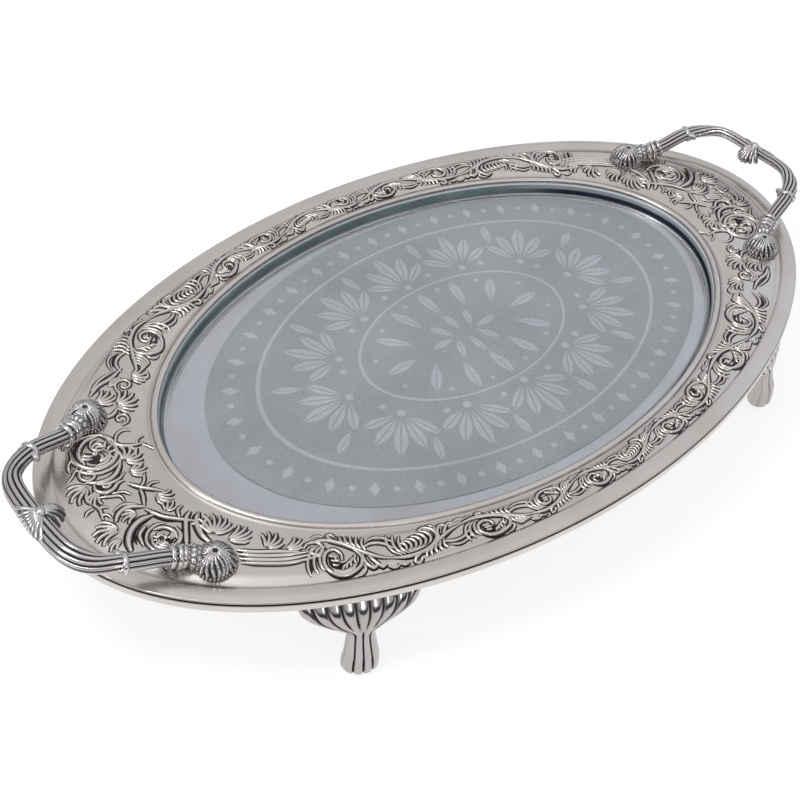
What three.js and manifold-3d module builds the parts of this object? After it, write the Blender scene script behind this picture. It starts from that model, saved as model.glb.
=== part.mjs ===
// An oval footed serving tray: pressed sheet body, rolled edge band, lift-out glass plate,
// two cast reeded handles bolted from below and four cast feet held on weld studs.
// Millimetres, +Z up. The origin is on the table under the tray's middle, and +X is its long axis.

import * as THREE from "three";
import { mergeVertices } from "three/addons/utils/BufferGeometryUtils.js";
import Module from "manifold-3d";

const wasm = await Module();
wasm.setup();

// Clearance between pieces that touch
const seatGap = 0.3;

// Pressed sheet, seen from above
const rimHalfLength = 216;
const rimHalfWidth = 122;
const lipHalfLength = 156.5;
const lipHalfWidth = 96.5;
const ovalPower = 1.97;
const ovalSteps = 60;

// Pressed sheet, in section
const sheetThickness = 1.2;
const rimHeight = 49.2;
const edgeRounding = 1;
const smoothBandWidth = 8.5;
const creaseDepth = 0.5;
const scrollBandRise = 0.8;
const crestStart = 0.25;
const crestEnd = 0.82;
const innerBandWidth = 4.5;
const beadWidth = 3;
const beadRise = 0.9;
const wellWallSlope = 1.8;
const wellCornerRadius = 1.5;

// Glass plate and the well that holds it
const glassThickness = 5;
const glassTopBelowRim = 6;
const glassSideClearance = 0.5;
const glassBevel = 0.8;

// Rolled band under the rim's edge
const edgeBandHeight = 4.4;
const edgeBandThickness = 2.2;
const edgeBandProud = 0.4;

// Handles
const bossSpacing = 97;
const bossInset = 24.9;
const bossRadius = 8.8;
const bossHeight = 9;
const ringBeyondBoss = 12;
const ringWithinBoss = 7.5;
const ringAboveRim = 6.8;
const ringRadius = 5.2;
const ringPitch = 3.2;
const stubHalfWidth = 3.6;
const stubHalfHeight = 3.2;
const collarBeyondBoss = 32.5;
const collarWithinBoss = 12.75;
const collarAboveRim = 13;
const archOverhang = 4.5;
const archSpacing = 43;
const archAboveRim = 16;
const archHalfWidth = 4.3;
const archHalfHeight = 2.6;
const archTilt = THREE.MathUtils.degToRad(35);
const knotOverhang = 2.5;
const knotAboveRim = 16.5;
const knotHalfWidth = 10;
const knotHalfLength = 7.5;
const knotHalfHeight = 5.2;
const leafTipReach = 7.5;
const leafTipRadius = 1.7;
const barSides = 10;
const barSteps = 39;

// Studs, washers and nuts
const studRadius = 2;
const nutAcrossFlats = 7;
const nutHeight = 3.2;
const washerRadius = 4.5;
const washerThickness = 1;
const studBeyondNut = 1;
const roundSteps = 16;
const arcSteps = 7;
const eggSteps = 10;
const eggRows = 7;

// Feet
const footFromEnd = 82.5;
const footSplay = 0.2;
const pawHalfWidth = 8.4;
const pawHalfDepth = 6.3;
const pawHeight = 5;
const waistHalfWidth = 6;
const waistHalfDepth = 4.2;
const waistHeight = 20.5;
const fanHalfWidth = 26.5;
const fanHalfDepth = 3;
const fanInset = 6.5;
const fanLipHeight = 39.5;
const toeDepth = 1.1;
const toeCount = 4;
const footSteps = 32;
const lugWidth = 12;
const lugThickness = 3;
const lugBeyondStud = 5.5;
const footStudInset = 15.5;

// Heights that follow from the sizes above
const sheetUnderside = rimHeight - creaseDepth - sheetThickness;
const glassTop = rimHeight - glassTopBelowRim;
const glassBottom = glassTop - glassThickness;
const wellFloor = glassBottom - seatGap;
const scrollCrest = rimHeight + scrollBandRise;
const bossBase = scrollCrest + seatGap;
const lugTop = sheetUnderside - seatGap;
const lugBottom = lugTop - lugThickness;
const lugReach = footStudInset + lugBeyondStud;
const footReach = rimHalfLength - footFromEnd;
const seatUnderside = scrollCrest - sheetThickness;

// Where the right handle stands, set by the rim's edge beside its bosses and at the tray's end
const rimEdgeAtBoss = rimHalfLength * (1 - (bossSpacing / 2 / rimHalfWidth) ** ovalPower) ** (1 / ovalPower);
const bossReach = rimEdgeAtBoss - bossInset;
const ringReach = bossReach + ringBeyondBoss;
const ringY = bossSpacing / 2 - ringWithinBoss;
const ringHeight = rimHeight + ringAboveRim;
const collarReach = bossReach + collarBeyondBoss;
const collarY = bossSpacing / 2 - collarWithinBoss;
const collarHeight = rimHeight + collarAboveRim;
const archReach = rimHalfLength + archOverhang;
const archHeight = rimHeight + archAboveRim;
const knotReach = rimHalfLength + knotOverhang;
const knotHeight = rimHeight + knotAboveRim;

const silver = { color: 0xbeb6af, roughness: 0.25, metalness: 1 };
const steel = { color: 0xa9a9a6, roughness: 0.35, metalness: 1 };
const glass = { color: 0xb4b7be, roughness: 0.08, metalness: 0, transparent: true, opacity: 0.6 };

// A point on an oval at the given turn, with the turn measured as on a circle
function ovalPoint(halfLength, halfWidth, turn, height) {
  const power = 2 / ovalPower;
  const cos = Math.cos(turn);
  const sin = Math.sin(turn);
  const x = halfLength * Math.sign(cos) * Math.abs(cos) ** power;
  const y = halfWidth * Math.sign(sin) * Math.abs(sin) ** power;
  return new THREE.Vector3(x, y, height);
}

function ovalRing(halfLength, halfWidth, height) {
  const turns = Array.from({ length: ovalSteps }, (_, step) => (step / ovalSteps) * 2 * Math.PI);
  return turns.map((turn) => ovalPoint(halfLength, halfWidth, turn, height));
}

const aroundRim = (outset, height) => ovalRing(rimHalfLength + outset, rimHalfWidth + outset, height);
const aroundLip = (outset, height) => ovalRing(lipHalfLength + outset, lipHalfWidth + outset, height);

// A ring between the scroll band's inner edge, at share 0, and its outer edge, at share 1
function acrossScrollBand(share, height) {
  const mix = THREE.MathUtils.lerp;
  const halfLength = mix(lipHalfLength + innerBandWidth, rimHalfLength - smoothBandWidth, share);
  const halfWidth = mix(lipHalfWidth + innerBandWidth, rimHalfWidth - smoothBandWidth, share);
  return ovalRing(halfLength, halfWidth, height);
}

// Joins rings of equal count into one closed skin. A looped skin returns to its first ring,
// and any other is closed by a fan at each end.
function loft(rings, looped = false) {
  const count = rings[0].length;
  const points = rings.flat();
  const faces = [];
  const bands = looped ? rings.length : rings.length - 1;
  for (let band = 0; band < bands; band += 1) {
    const low = band * count;
    const high = ((band + 1) % rings.length) * count;
    for (let step = 0; step < count; step += 1) {
      const next = (step + 1) % count;
      faces.push(low + step, low + next, high + next);
      faces.push(low + step, high + next, high + step);
    }
  }
  if (!looped) {
    for (const [ring, end] of [[rings[0], "first"], [rings.at(-1), "last"]]) {
      const start = end === "first" ? 0 : (rings.length - 1) * count;
      const centre = points.length;
      const sum = ring.reduce((total, point) => total.add(point), new THREE.Vector3());
      points.push(sum.divideScalar(count));
      for (let step = 0; step < count; step += 1) {
        const next = (step + 1) % count;
        const edge = end === "first" ? [start + next, start + step] : [start + step, start + next];
        faces.push(centre, ...edge);
      }
    }
  }
  const geometry = new THREE.BufferGeometry();
  geometry.setFromPoints(points);
  geometry.setIndex(faces);
  return geometry;
}

function toSolid(geometry) {
  const bare = geometry.clone();
  bare.deleteAttribute("normal");
  bare.deleteAttribute("uv");
  const merged = mergeVertices(bare, 1e-4);
  return new wasm.Manifold(new wasm.Mesh({
    numProp: 3,
    vertProperties: new Float32Array(merged.attributes.position.array),
    triVerts: new Uint32Array(merged.index.array),
  }));
}

function toGeometry(solid) {
  const mesh = solid.getMesh();
  const geometry = new THREE.BufferGeometry();
  geometry.setAttribute("position", new THREE.BufferAttribute(mesh.vertProperties, 3));
  geometry.setIndex(new THREE.BufferAttribute(mesh.triVerts, 1));
  geometry.computeVertexNormals();
  return geometry;
}

function uprightRod(radius, bottom, top, x, y) {
  const rod = new THREE.CylinderGeometry(radius, radius, top - bottom, roundSteps);
  rod.rotateX(Math.PI / 2);
  rod.translate(x, y, (bottom + top) / 2);
  return toSolid(rod);
}

// Where a foot stands: a point on the rim, the outward direction there and the rim's curve radius
function rimPlace(reach) {
  const turn = Math.acos((reach / rimHalfLength) ** (ovalPower / 2));
  const step = 0.02;
  const [before, here, after] = [turn - step, turn, turn + step].map((at) => (
    ovalPoint(rimHalfLength, rimHalfWidth, at, 0)
  ));
  const along = after.clone().sub(before);
  const outward = new THREE.Vector3(along.y, -along.x, 0).normalize();
  const sag = here.clone().sub(before.clone().add(after).divideScalar(2)).length();
  const radius = (along.length() / 2) ** 2 / (2 * sag);
  return { point: here, outward, radius };
}

const corners = ["back_right", "back_left", "front_left", "front_right"];
const cornerSigns = [[1, 1], [-1, 1], [-1, -1], [1, -1]];
const rightFoot = rimPlace(footReach);
const footStud = rightFoot.point.clone().addScaledVector(rightFoot.outward, -footStudInset);

function trayBody() {
  const top = [
    aroundRim(0, rimHeight - edgeRounding),
    aroundRim(-edgeRounding / 3, rimHeight - edgeRounding / 3),
    aroundRim(-edgeRounding, rimHeight),
    aroundRim(-smoothBandWidth / 2, rimHeight),
    aroundRim(-smoothBandWidth, rimHeight - creaseDepth),
    acrossScrollBand((1 + crestEnd) / 2, rimHeight + scrollBandRise * 0.6),
    acrossScrollBand(crestEnd, scrollCrest),
    acrossScrollBand(crestStart, scrollCrest),
    acrossScrollBand(crestStart / 2, rimHeight + scrollBandRise * 0.6),
    acrossScrollBand(0, rimHeight - creaseDepth),
    aroundLip(beadWidth, rimHeight),
    aroundLip(beadWidth * 0.7, rimHeight + beadRise * 0.8),
    aroundLip(beadWidth * 0.4, rimHeight + beadRise),
    aroundLip(0, rimHeight),
    aroundLip(-wellWallSlope * 0.4, (rimHeight + wellFloor) / 2),
    aroundLip(-wellWallSlope, wellFloor + wellCornerRadius),
    aroundLip(-wellWallSlope - wellCornerRadius * 0.3, wellFloor + wellCornerRadius * 0.3),
    aroundLip(-wellWallSlope - wellCornerRadius, wellFloor),
  ];
  const under = (height) => height - sheetThickness;
  const bottom = [
    aroundLip(-wellWallSlope - wellCornerRadius, under(wellFloor)),
    aroundLip(sheetThickness - wellWallSlope - wellCornerRadius * 0.5, under(wellFloor)),
    aroundLip(sheetThickness - wellWallSlope, wellFloor + wellCornerRadius / 2),
    aroundLip(sheetThickness, under(rimHeight)),
    aroundLip(beadWidth * 0.7, under(rimHeight + beadRise * 0.6)),
    aroundLip(beadWidth, under(rimHeight)),
    acrossScrollBand(0, sheetUnderside),
    acrossScrollBand(crestStart / 2, under(rimHeight + scrollBandRise * 0.6)),
    acrossScrollBand(crestStart, under(scrollCrest)),
    acrossScrollBand(crestEnd, under(scrollCrest)),
    acrossScrollBand((1 + crestEnd) / 2, under(rimHeight + scrollBandRise * 0.6)),
    aroundRim(-smoothBandWidth, sheetUnderside),
    aroundRim(-smoothBandWidth / 2, under(rimHeight)),
    aroundRim(-edgeRounding, under(rimHeight)),
  ];
  let body = toSolid(loft([...bottom, ...top]));
  const seatRadius = Math.max(bossRadius, washerRadius) + seatGap;
  for (const [signX, signY] of cornerSigns) {
    const [bossX, bossY] = [signX * bossReach, (signY * bossSpacing) / 2];
    const rod = (radius, bottom, top) => uprightRod(radius, bottom, top, bossX, bossY);
    body = body.subtract(rod(seatRadius, seatUnderside - washerThickness - nutHeight, seatUnderside));
    body = body.add(rod(seatRadius + sheetThickness, seatUnderside, scrollCrest));
    body = body.subtract(rod(studRadius + seatGap, seatUnderside - seatGap, scrollCrest + seatGap));
    const studEnd = lugBottom - 2 * seatGap - washerThickness - nutHeight - studBeyondNut;
    const studRoot = scrollCrest - sheetThickness / 2;
    body = body.add(uprightRod(studRadius, studEnd, studRoot, signX * footStud.x, signY * footStud.y));
  }
  return toGeometry(body);
}

function rimBand() {
  const top = rimHeight - sheetThickness - seatGap;
  const bottom = top - edgeBandHeight;
  const rounding = edgeBandThickness / 3;
  const inner = edgeBandProud - edgeBandThickness;
  return loft([
    aroundRim(inner + rounding, bottom),
    aroundRim(edgeBandProud - rounding, bottom),
    aroundRim(edgeBandProud, bottom + rounding),
    aroundRim(edgeBandProud, top - rounding),
    aroundRim(edgeBandProud - rounding, top),
    aroundRim(inner, top),
    aroundRim(inner, bottom + rounding),
  ], true);
}

function glassPlate() {
  const edge = -wellWallSlope - glassSideClearance;
  const lowEdge = edge - wellCornerRadius;
  return loft([
    aroundLip(lowEdge - glassBevel, glassBottom),
    aroundLip(lowEdge, glassBottom + glassBevel),
    aroundLip(edge, glassBottom + wellCornerRadius + glassBevel),
    aroundLip(edge, glassTop - glassBevel),
    aroundLip(edge - glassBevel, glassTop),
  ]);
}

// The line that the right handle's bar follows, from one boss to the other
const handlePath = (() => {
  const shoulderReach = collarReach + (archReach - collarReach) * 0.65;
  const shoulderY = collarY + (archSpacing / 2 - collarY) * 0.4;
  const half = [
    [bossReach, bossSpacing / 2, bossBase + bossHeight * 0.3],
    [ringReach, ringY, ringHeight],
    [collarReach, collarY, collarHeight],
    [shoulderReach, shoulderY, (collarHeight + archHeight) / 2],
    [archReach, archSpacing / 2, archHeight],
  ];
  const mirrored = half.map(([x, y, z]) => [x, -y, z]).reverse();
  const points = [...half, [knotReach, 0, knotHeight], ...mirrored];
  return new THREE.CatmullRomCurve3(points.map((point) => new THREE.Vector3(...point)), false, "centripetal");
})();
const pathSpans = handlePath.points.length - 1;
const ringAt = 1 / pathSpans;
const collarAt = 2 / pathSpans;
const archAt = 4 / pathSpans;

// The bar's place and section axes at a share of its line: the arched middle leans outwards
function barPlace(share) {
  const centre = handlePath.getPoint(share);
  const along = handlePath.getTangent(share);
  const upright = new THREE.Vector3(0, 0, 1).addScaledVector(along, -along.z).normalize();
  const fromEnd = Math.min(share, 1 - share);
  const arch = THREE.MathUtils.smoothstep(fromEnd, collarAt, archAt);
  const up = upright.applyAxisAngle(along, -archTilt * arch);
  const across = new THREE.Vector3().crossVectors(up, along);
  const halfWidth = THREE.MathUtils.lerp(stubHalfWidth, archHalfWidth, arch);
  const halfHeight = THREE.MathUtils.lerp(stubHalfHeight, archHalfHeight, arch);
  return { centre, along, across, up, halfWidth, halfHeight };
}

function barSection({ centre, across, up, halfWidth, halfHeight }) {
  return Array.from({ length: barSides }, (_, side) => {
    const turn = (side / barSides) * 2 * Math.PI;
    return centre.clone()
      .addScaledVector(across, halfWidth * Math.cos(turn))
      .addScaledVector(up, halfHeight * Math.sin(turn));
  });
}

// An egg shape whose three half sizes lie along the bar, across it and up
function egg({ centre, along, across, up }, halfLength, halfWidth, halfHeight, shift = 0) {
  const shape = new THREE.SphereGeometry(1, eggSteps, eggRows);
  shape.scale(halfLength, halfWidth, halfHeight);
  shape.applyMatrix4(new THREE.Matrix4().makeBasis(along, across, up));
  const middle = centre.clone().addScaledVector(across, shift);
  shape.translate(middle.x, middle.y, middle.z);
  return toSolid(shape);
}

function leafTip({ centre, across }, back, side) {
  const lean = across.clone().multiplyScalar(side).addScaledVector(back, 0.5).normalize();
  const tip = new THREE.ConeGeometry(leafTipRadius, leafTipReach, 6);
  tip.translate(0, leafTipReach / 2, 0);
  tip.applyQuaternion(new THREE.Quaternion().setFromUnitVectors(new THREE.Vector3(0, 1, 0), lean));
  tip.translate(centre.x, centre.y, centre.z);
  return toSolid(tip);
}

function bossDome(y) {
  const profile = [[0, 0], [0.9, 0], [1, 0.15], [0.97, 0.4], [0.8, 0.7], [0.48, 0.92], [0, 1]];
  const dome = new THREE.LatheGeometry(profile.map(([radius, height]) => (
    new THREE.Vector2(radius * bossRadius, height * bossHeight)
  )), roundSteps);
  dome.rotateX(Math.PI / 2);
  dome.translate(bossReach, y, bossBase);
  return toSolid(dome);
}

function handleCasting() {
  const shares = Array.from({ length: barSteps + 1 }, (_, step) => step / barSteps);
  let casting = toSolid(loft(shares.map((share) => barSection(barPlace(share)))));
  const studEnd = seatUnderside - 2 * seatGap - washerThickness - nutHeight - studBeyondNut;
  const spanLength = handlePath.points[1].distanceTo(handlePath.points[2]);
  for (const end of [1, -1]) {
    const place = (share) => barPlace(end > 0 ? share : 1 - share);
    for (const ring of [-0.5, 0.5]) {
      const share = ringAt + ((ring * ringPitch) / spanLength) * (collarAt - ringAt);
      casting = casting.add(egg(place(share), ringPitch * 0.57, ringRadius, ringRadius));
    }
    const collar = place(collarAt);
    const back = collar.along.clone().multiplyScalar(-end);
    casting = casting.add(egg(collar, leafTipReach / 2, stubHalfWidth * 1.3, stubHalfHeight * 1.3));
    casting = casting.add(leafTip(collar, back, 1));
    casting = casting.add(leafTip(collar, back, -1));
    const bossY = (end * bossSpacing) / 2;
    casting = casting.add(bossDome(bossY));
    casting = casting.add(uprightRod(studRadius, studEnd, bossBase + 1, bossReach, bossY));
  }
  const knot = barPlace(0.5);
  const lobeHalfWidth = knotHalfWidth * 0.55;
  casting = casting.add(egg(knot, knotHalfLength * 0.6, archHalfWidth, knotHalfHeight));
  for (const side of [1, -1]) {
    const shift = side * (knotHalfWidth - lobeHalfWidth);
    casting = casting.add(egg(knot, knotHalfLength, lobeHalfWidth, knotHalfHeight * 0.85, shift));
  }
  return toGeometry(casting);
}

// Half width, half depth and outward place of the foot at one height
function footStations() {
  const fanBottom = waistHeight + 4;
  const fanRise = fanLipHeight - fanBottom;
  const fan = (share, width, depth, inset) => ({
    height: fanBottom + fanRise * share,
    halfWidth: waistHalfWidth + (fanHalfWidth - waistHalfWidth) * width,
    halfDepth: depth,
    outset: inset,
  });
  return [
    { height: 0, halfWidth: pawHalfWidth * 0.86, halfDepth: pawHalfDepth * 0.84, outset: footSplay },
    { height: pawHeight * 0.25, halfWidth: pawHalfWidth * 0.97, halfDepth: pawHalfDepth * 0.97, outset: footSplay },
    { height: pawHeight, halfWidth: pawHalfWidth, halfDepth: pawHalfDepth, outset: footSplay * 0.7 },
    { height: pawHeight * 2.2, halfWidth: pawHalfWidth * 0.88, halfDepth: pawHalfDepth * 0.84, outset: 0 },
    { height: (pawHeight + waistHeight) * 0.62, halfWidth: waistHalfWidth * 1.1, halfDepth: waistHalfDepth * 1.1,
      outset: -1.4 },
    { height: waistHeight, halfWidth: waistHalfWidth, halfDepth: waistHalfDepth, outset: -2.2 },
    fan(0, 0.18, waistHalfDepth, -2.4),
    fan(0.2, 0.5, waistHalfDepth, -2.8),
    fan(0.45, 0.79, waistHalfDepth, -3.4),
    fan(0.72, 0.95, waistHalfDepth, -4.4),
    fan(1, 1, waistHalfDepth * 0.9, -5.6),
    { height: fanLipHeight + 3, halfWidth: fanHalfWidth, halfDepth: fanHalfDepth, outset: -fanInset },
    { height: lugTop, halfWidth: fanHalfWidth * 0.97, halfDepth: fanHalfDepth * 0.9, outset: -fanInset },
  ];
}

// A foot in its own axes: +X outward from the rim's edge, Y along the rim
function footCasting() {
  const rings = footStations().map(({ height, halfWidth, halfDepth, outset }) => (
    Array.from({ length: footSteps }, (_, step) => {
      const turn = (step / footSteps) * 2 * Math.PI;
      const along = halfWidth * Math.sin(turn);
      const front = Math.max(Math.cos(turn), 0);
      const groove = Math.abs(Math.cos((turn * toeCount) / 2 + Math.PI / 2));
      const scallop = toeDepth * (groove - 1) * Math.min(front * 2, 1);
      const sag = along ** 2 / (2 * rightFoot.radius);
      return new THREE.Vector3(outset + halfDepth * Math.cos(turn) + scallop - sag, along, height);
    })
  ));
  const lug = new THREE.BoxGeometry(lugReach - fanInset, lugWidth, lugThickness);
  lug.translate(-(lugReach + fanInset) / 2, 0, (lugTop + lugBottom) / 2);
  const bore = uprightRod(studRadius + seatGap, lugBottom - 1, lugTop + 1, -footStudInset, 0);
  return toGeometry(toSolid(loft(rings)).add(toSolid(lug)).subtract(bore));
}

function washerShape() {
  const outline = new THREE.Shape().absarc(0, 0, washerRadius, 0, 2 * Math.PI);
  outline.holes.push(new THREE.Path().absarc(0, 0, studRadius + seatGap, 0, 2 * Math.PI, true));
  return new THREE.ExtrudeGeometry(outline, {
    depth: washerThickness, bevelEnabled: false, curveSegments: arcSteps,
  });
}

function nutShape() {
  const cornerRadius = nutAcrossFlats / Math.sqrt(3);
  const points = Array.from({ length: 6 }, (_, corner) => {
    const turn = (corner * Math.PI) / 3;
    return new THREE.Vector2(cornerRadius * Math.cos(turn), cornerRadius * Math.sin(turn));
  });
  const outline = new THREE.Shape(points);
  outline.holes.push(new THREE.Path().absarc(0, 0, studRadius + seatGap, 0, 2 * Math.PI, true));
  return new THREE.ExtrudeGeometry(outline, {
    depth: nutHeight, bevelEnabled: false, curveSegments: arcSteps,
  });
}

const tray = new THREE.Group();
tray.name = "serving_tray";

function place(name, geometry, finish, x = 0, y = 0, z = 0, turn = 0) {
  const mesh = new THREE.Mesh(geometry, new THREE.MeshStandardMaterial(finish));
  mesh.name = name;
  mesh.position.set(x, y, z);
  mesh.rotation.z = turn;
  tray.add(mesh);
}

place("tray_body", trayBody(), silver);
place("rim_band", rimBand(), silver);
place("glass_plate", glassPlate(), glass);

const casting = handleCasting();
place("handle_right", casting, silver);
place("handle_left", casting, silver, 0, 0, 0, Math.PI);

const foot = footCasting();
const washer = washerShape();
const nut = nutShape();
const handleWasherBottom = seatUnderside - seatGap - washerThickness;
const footWasherBottom = lugBottom - seatGap - washerThickness;
corners.forEach((corner, index) => {
  const [signX, signY] = cornerSigns[index];
  const outward = Math.atan2(signY * rightFoot.outward.y, signX * rightFoot.outward.x);
  const { x: footX, y: footY } = rightFoot.point;
  place(`foot_${corner}`, foot, silver, signX * footX, signY * footY, 0, outward);
  const sets = [
    ["handle", signX * bossReach, (signY * bossSpacing) / 2, handleWasherBottom],
    ["foot", signX * footStud.x, signY * footStud.y, footWasherBottom],
  ];
  for (const [kind, x, y, washerBottom] of sets) {
    place(`${kind}_washer_${corner}`, washer, steel, x, y, washerBottom);
    place(`${kind}_nut_${corner}`, nut, steel, x, y, washerBottom - seatGap - nutHeight);
  }
});

export default tray;
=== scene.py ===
import math
import random

import bpy
import numpy as np
from mathutils import Matrix, Vector, kdtree


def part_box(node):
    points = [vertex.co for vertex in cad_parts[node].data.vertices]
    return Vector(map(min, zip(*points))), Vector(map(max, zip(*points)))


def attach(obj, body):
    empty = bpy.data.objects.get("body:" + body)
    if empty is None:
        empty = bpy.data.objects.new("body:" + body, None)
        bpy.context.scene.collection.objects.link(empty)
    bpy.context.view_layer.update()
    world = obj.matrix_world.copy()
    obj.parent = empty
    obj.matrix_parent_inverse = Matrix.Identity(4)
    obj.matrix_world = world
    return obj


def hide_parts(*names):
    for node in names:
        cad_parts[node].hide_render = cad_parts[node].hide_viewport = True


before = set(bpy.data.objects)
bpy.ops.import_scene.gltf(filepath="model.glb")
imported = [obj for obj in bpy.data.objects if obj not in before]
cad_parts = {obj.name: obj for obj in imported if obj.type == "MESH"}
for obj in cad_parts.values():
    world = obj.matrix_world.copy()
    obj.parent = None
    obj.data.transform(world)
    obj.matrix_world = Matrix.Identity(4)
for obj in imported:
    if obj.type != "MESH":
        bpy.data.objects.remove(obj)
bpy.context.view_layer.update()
mm = 0.001

cameraView = {
    "place": (-349.6, -319.9, 468.8),
    "aim": (-27.7, 4.8, 12.3),
    "roll": 0.10994,
    "lens": 59.276,
    "sensor": 36.0,
}


def linked(name, data):
    holder = bpy.data.objects.new(name, data)
    bpy.context.scene.collection.objects.link(holder)
    return holder


def makeCamera():
    place = Vector(cameraView["place"]) * mm
    forward = (Vector(cameraView["aim"]) * mm - place).normalized()
    right = forward.cross(Vector((0, 0, 1))).normalized()
    up = right.cross(forward)
    roll = cameraView["roll"]
    side = right * math.cos(roll) + up * math.sin(roll)
    top = up * math.cos(roll) - right * math.sin(roll)
    lens = bpy.data.cameras.new("camera")
    lens.lens = cameraView["lens"]
    lens.sensor_width = cameraView["sensor"]
    lens.clip_start = 0.01
    lens.clip_end = 20
    camera = linked("camera", lens)
    camera.matrix_world = Matrix((
        (side.x, top.x, -forward.x, place.x),
        (side.y, top.y, -forward.y, place.y),
        (side.z, top.z, -forward.z, place.z),
        (0, 0, 0, 1),
    ))
    bpy.context.scene.camera = camera


makeCamera()


# A socket whose arithmetic adds Math nodes to its tree
class Wire:
    def __init__(self, sheet, socket):
        self.sheet = sheet
        self.socket = socket

    def math(self, operation, *others):
        return self.sheet.add("ShaderNodeMath", {"operation": operation}, [self, *others])

    def __add__(self, other):
        return self.math("ADD", other)

    __radd__ = __add__

    def __sub__(self, other):
        return self.math("SUBTRACT", other)

    def __rsub__(self, other):
        return self.sheet.add("ShaderNodeMath", {"operation": "SUBTRACT"}, [other, self])

    def __mul__(self, other):
        return self.math("MULTIPLY", other)

    __rmul__ = __mul__

    def clamped(self):
        return self.math("MAXIMUM", 0.0).math("MINIMUM", 1.0)

    def between(self, low, high):
        settings = {"interpolation_type": "SMOOTHSTEP"}
        values = {"Value": self, "From Min": low, "From Max": high}
        return self.sheet.add("ShaderNodeMapRange", settings, values)


# One node tree: add() makes a node from its type, its settings and its sockets' values or links
class NodeSheet:
    def __init__(self, tree):
        self.tree = tree

    def add(self, kind, settings=None, values=None, output=0):
        node = self.tree.nodes.new(kind)
        for name, setting in (settings or {}).items():
            if name == "stops":
                ramp = node.color_ramp.elements
                while len(ramp) < len(setting):
                    ramp.new(0.5)
                for stop, (place, colour) in zip(ramp, setting):
                    stop.position = place
                    stop.color = (*colour, 1)
            else:
                setattr(node, name, setting)
        pairs = enumerate(values) if isinstance(values, list) else (values or {}).items()
        for name, value in pairs:
            self.join(value, node.inputs[name])
        return Wire(self, node.outputs[output]) if len(node.outputs) else None

    def join(self, value, socket):
        if isinstance(value, Wire):
            self.tree.links.new(value.socket, socket)
        elif value is not None:
            socket.default_value = value

    # Mixes colours; a mix node takes them at its inputs 6 and 7 and gives one at its output 2
    def blend(self, share, first, second):
        colours = [(*c, 1) if isinstance(c, tuple) else c for c in (first, second)]
        node = self.add("ShaderNodeMix", {"data_type": "RGBA"}).socket.node
        for index, value in zip((0, 6, 7), (share, *colours)):
            self.join(value, node.inputs[index])
        return Wire(self, node.outputs[2])

    # Noise over a surface; its kind is a scale and a detail
    def noise(self, place, kind):
        return self.add("ShaderNodeTexNoise", {}, {"Vector": place, "Scale": kind[0], "Detail": kind[1]})

    def part(self, vector, axis):
        return self.add("ShaderNodeSeparateXYZ", {}, {"Vector": vector}, axis)


def startMaterial(name):
    material = bpy.data.materials.new(name)
    material.use_nodes = True
    material.node_tree.nodes.clear()
    sheet = NodeSheet(material.node_tree)
    return material, sheet, sheet.add("ShaderNodeTexCoord", output=3)


def endMaterial(material, sheet, values):
    shader = sheet.add("ShaderNodeBsdfPrincipled", {}, values)
    sheet.add("ShaderNodeOutputMaterial", {}, {"Surface": shader})
    return material


silver = {
    "clean": (0.70, 0.665, 0.64),
    "warm": (0.65, 0.605, 0.575),
    # Colour scales for copies of one silver: painted highlight on the relief, painted light with a blue tint
    # on the handles, painted shade on the feet, painted light on the well's floor
    "reliefPaintedHighlight": (1.08, 1.08, 1.08),
    "handlePaintedLight": (0.95, 0.975, 1.01),
    "footPaintedShade": (0.70, 0.705, 0.72),
    "wellPaintedLight": (1.22, 1.27, 1.35),
    "oxideAndShadeColour": (0.012, 0.010, 0.010),
    "roughness": 0.2,
    "roughnessSpread": 0.12,
    "grainRoughness": 0.04,
    "darkRoughness": 0.4,
    "darkMottle": 0.25,
    "darkMetal": 0.35,
    "mottle": (34.0, 4.0),
    "mottleFrom": 0.35,
    "mottleTo": 0.7,
    "grain": (900.0, 2.0),
    "wave": (28.0, 1.0),
    "waveDepth": 0.00006,
    "grainDepth": 0.000006,
}


# Silver plate: a darkness attribute blends it towards near black, standing for oxide and for painted shade
# in grooves, creases, seams and on the ground beside the scrollwork
def silverMaterial(name, waveShare=1.0, roughnessShift=0.0, shade=(1, 1, 1)):
    material, sheet, place = startMaterial(name)
    mottle, grain, wave = (sheet.noise(place, silver[key]) for key in ("mottle", "grain", "wave"))
    # shade scales the clean and warm colours, which paints light and shade on this copy
    clean, warm = (tuple(min(part * share, 1.0) for part, share in zip(silver[key], shade))
                   for key in ("clean", "warm"))
    colour = sheet.blend(mottle.between(silver["mottleFrom"], silver["mottleTo"]), clean, warm)
    roughness = mottle * silver["roughnessSpread"] + (silver["roughness"] + roughnessShift)
    roughness = roughness + grain * silver["grainRoughness"]
    dark = sheet.add("ShaderNodeAttribute", {"attribute_name": "tarnish"}, output=2)
    dark = (dark + (mottle - 0.5) * silver["darkMottle"] * dark).clamped()
    low = sheet.add("ShaderNodeBump", {}, {
        "Strength": 1.0, "Distance": silver["waveDepth"] * waveShare, "Height": wave,
    })
    normal = sheet.add("ShaderNodeBump", {}, {
        "Strength": 1.0, "Distance": silver["grainDepth"], "Height": grain, "Normal": low,
    })
    return endMaterial(material, sheet, {
        "Base Color": sheet.blend(dark, colour, silver["oxideAndShadeColour"]),
        "Metallic": 1.0 - dark * silver["darkMetal"],
        "Roughness": roughness + dark * silver["darkRoughness"],
        "Normal": normal,
    })


# The copies differ in roughness and in colour scale; the colour scale is painted light and painted shade,
# not a different metal
sheetSilver = silverMaterial("sheetSilver")
wellSilver = silverMaterial("wellSilver", 0.15, 0.14, silver["wellPaintedLight"])
handleSilver = silverMaterial("handleSilver", 0.5, -0.09, silver["handlePaintedLight"])
footSilver = silverMaterial("footSilver", 0.5, -0.11, silver["footPaintedShade"])
reliefSilver = silverMaterial("reliefSilver", 0.3, -0.02, silver["reliefPaintedHighlight"])


# The well's wall is painted: a green, grey and navy reflection over the glass, pale painted light behind it
# and a painted highlight under the bead
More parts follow.
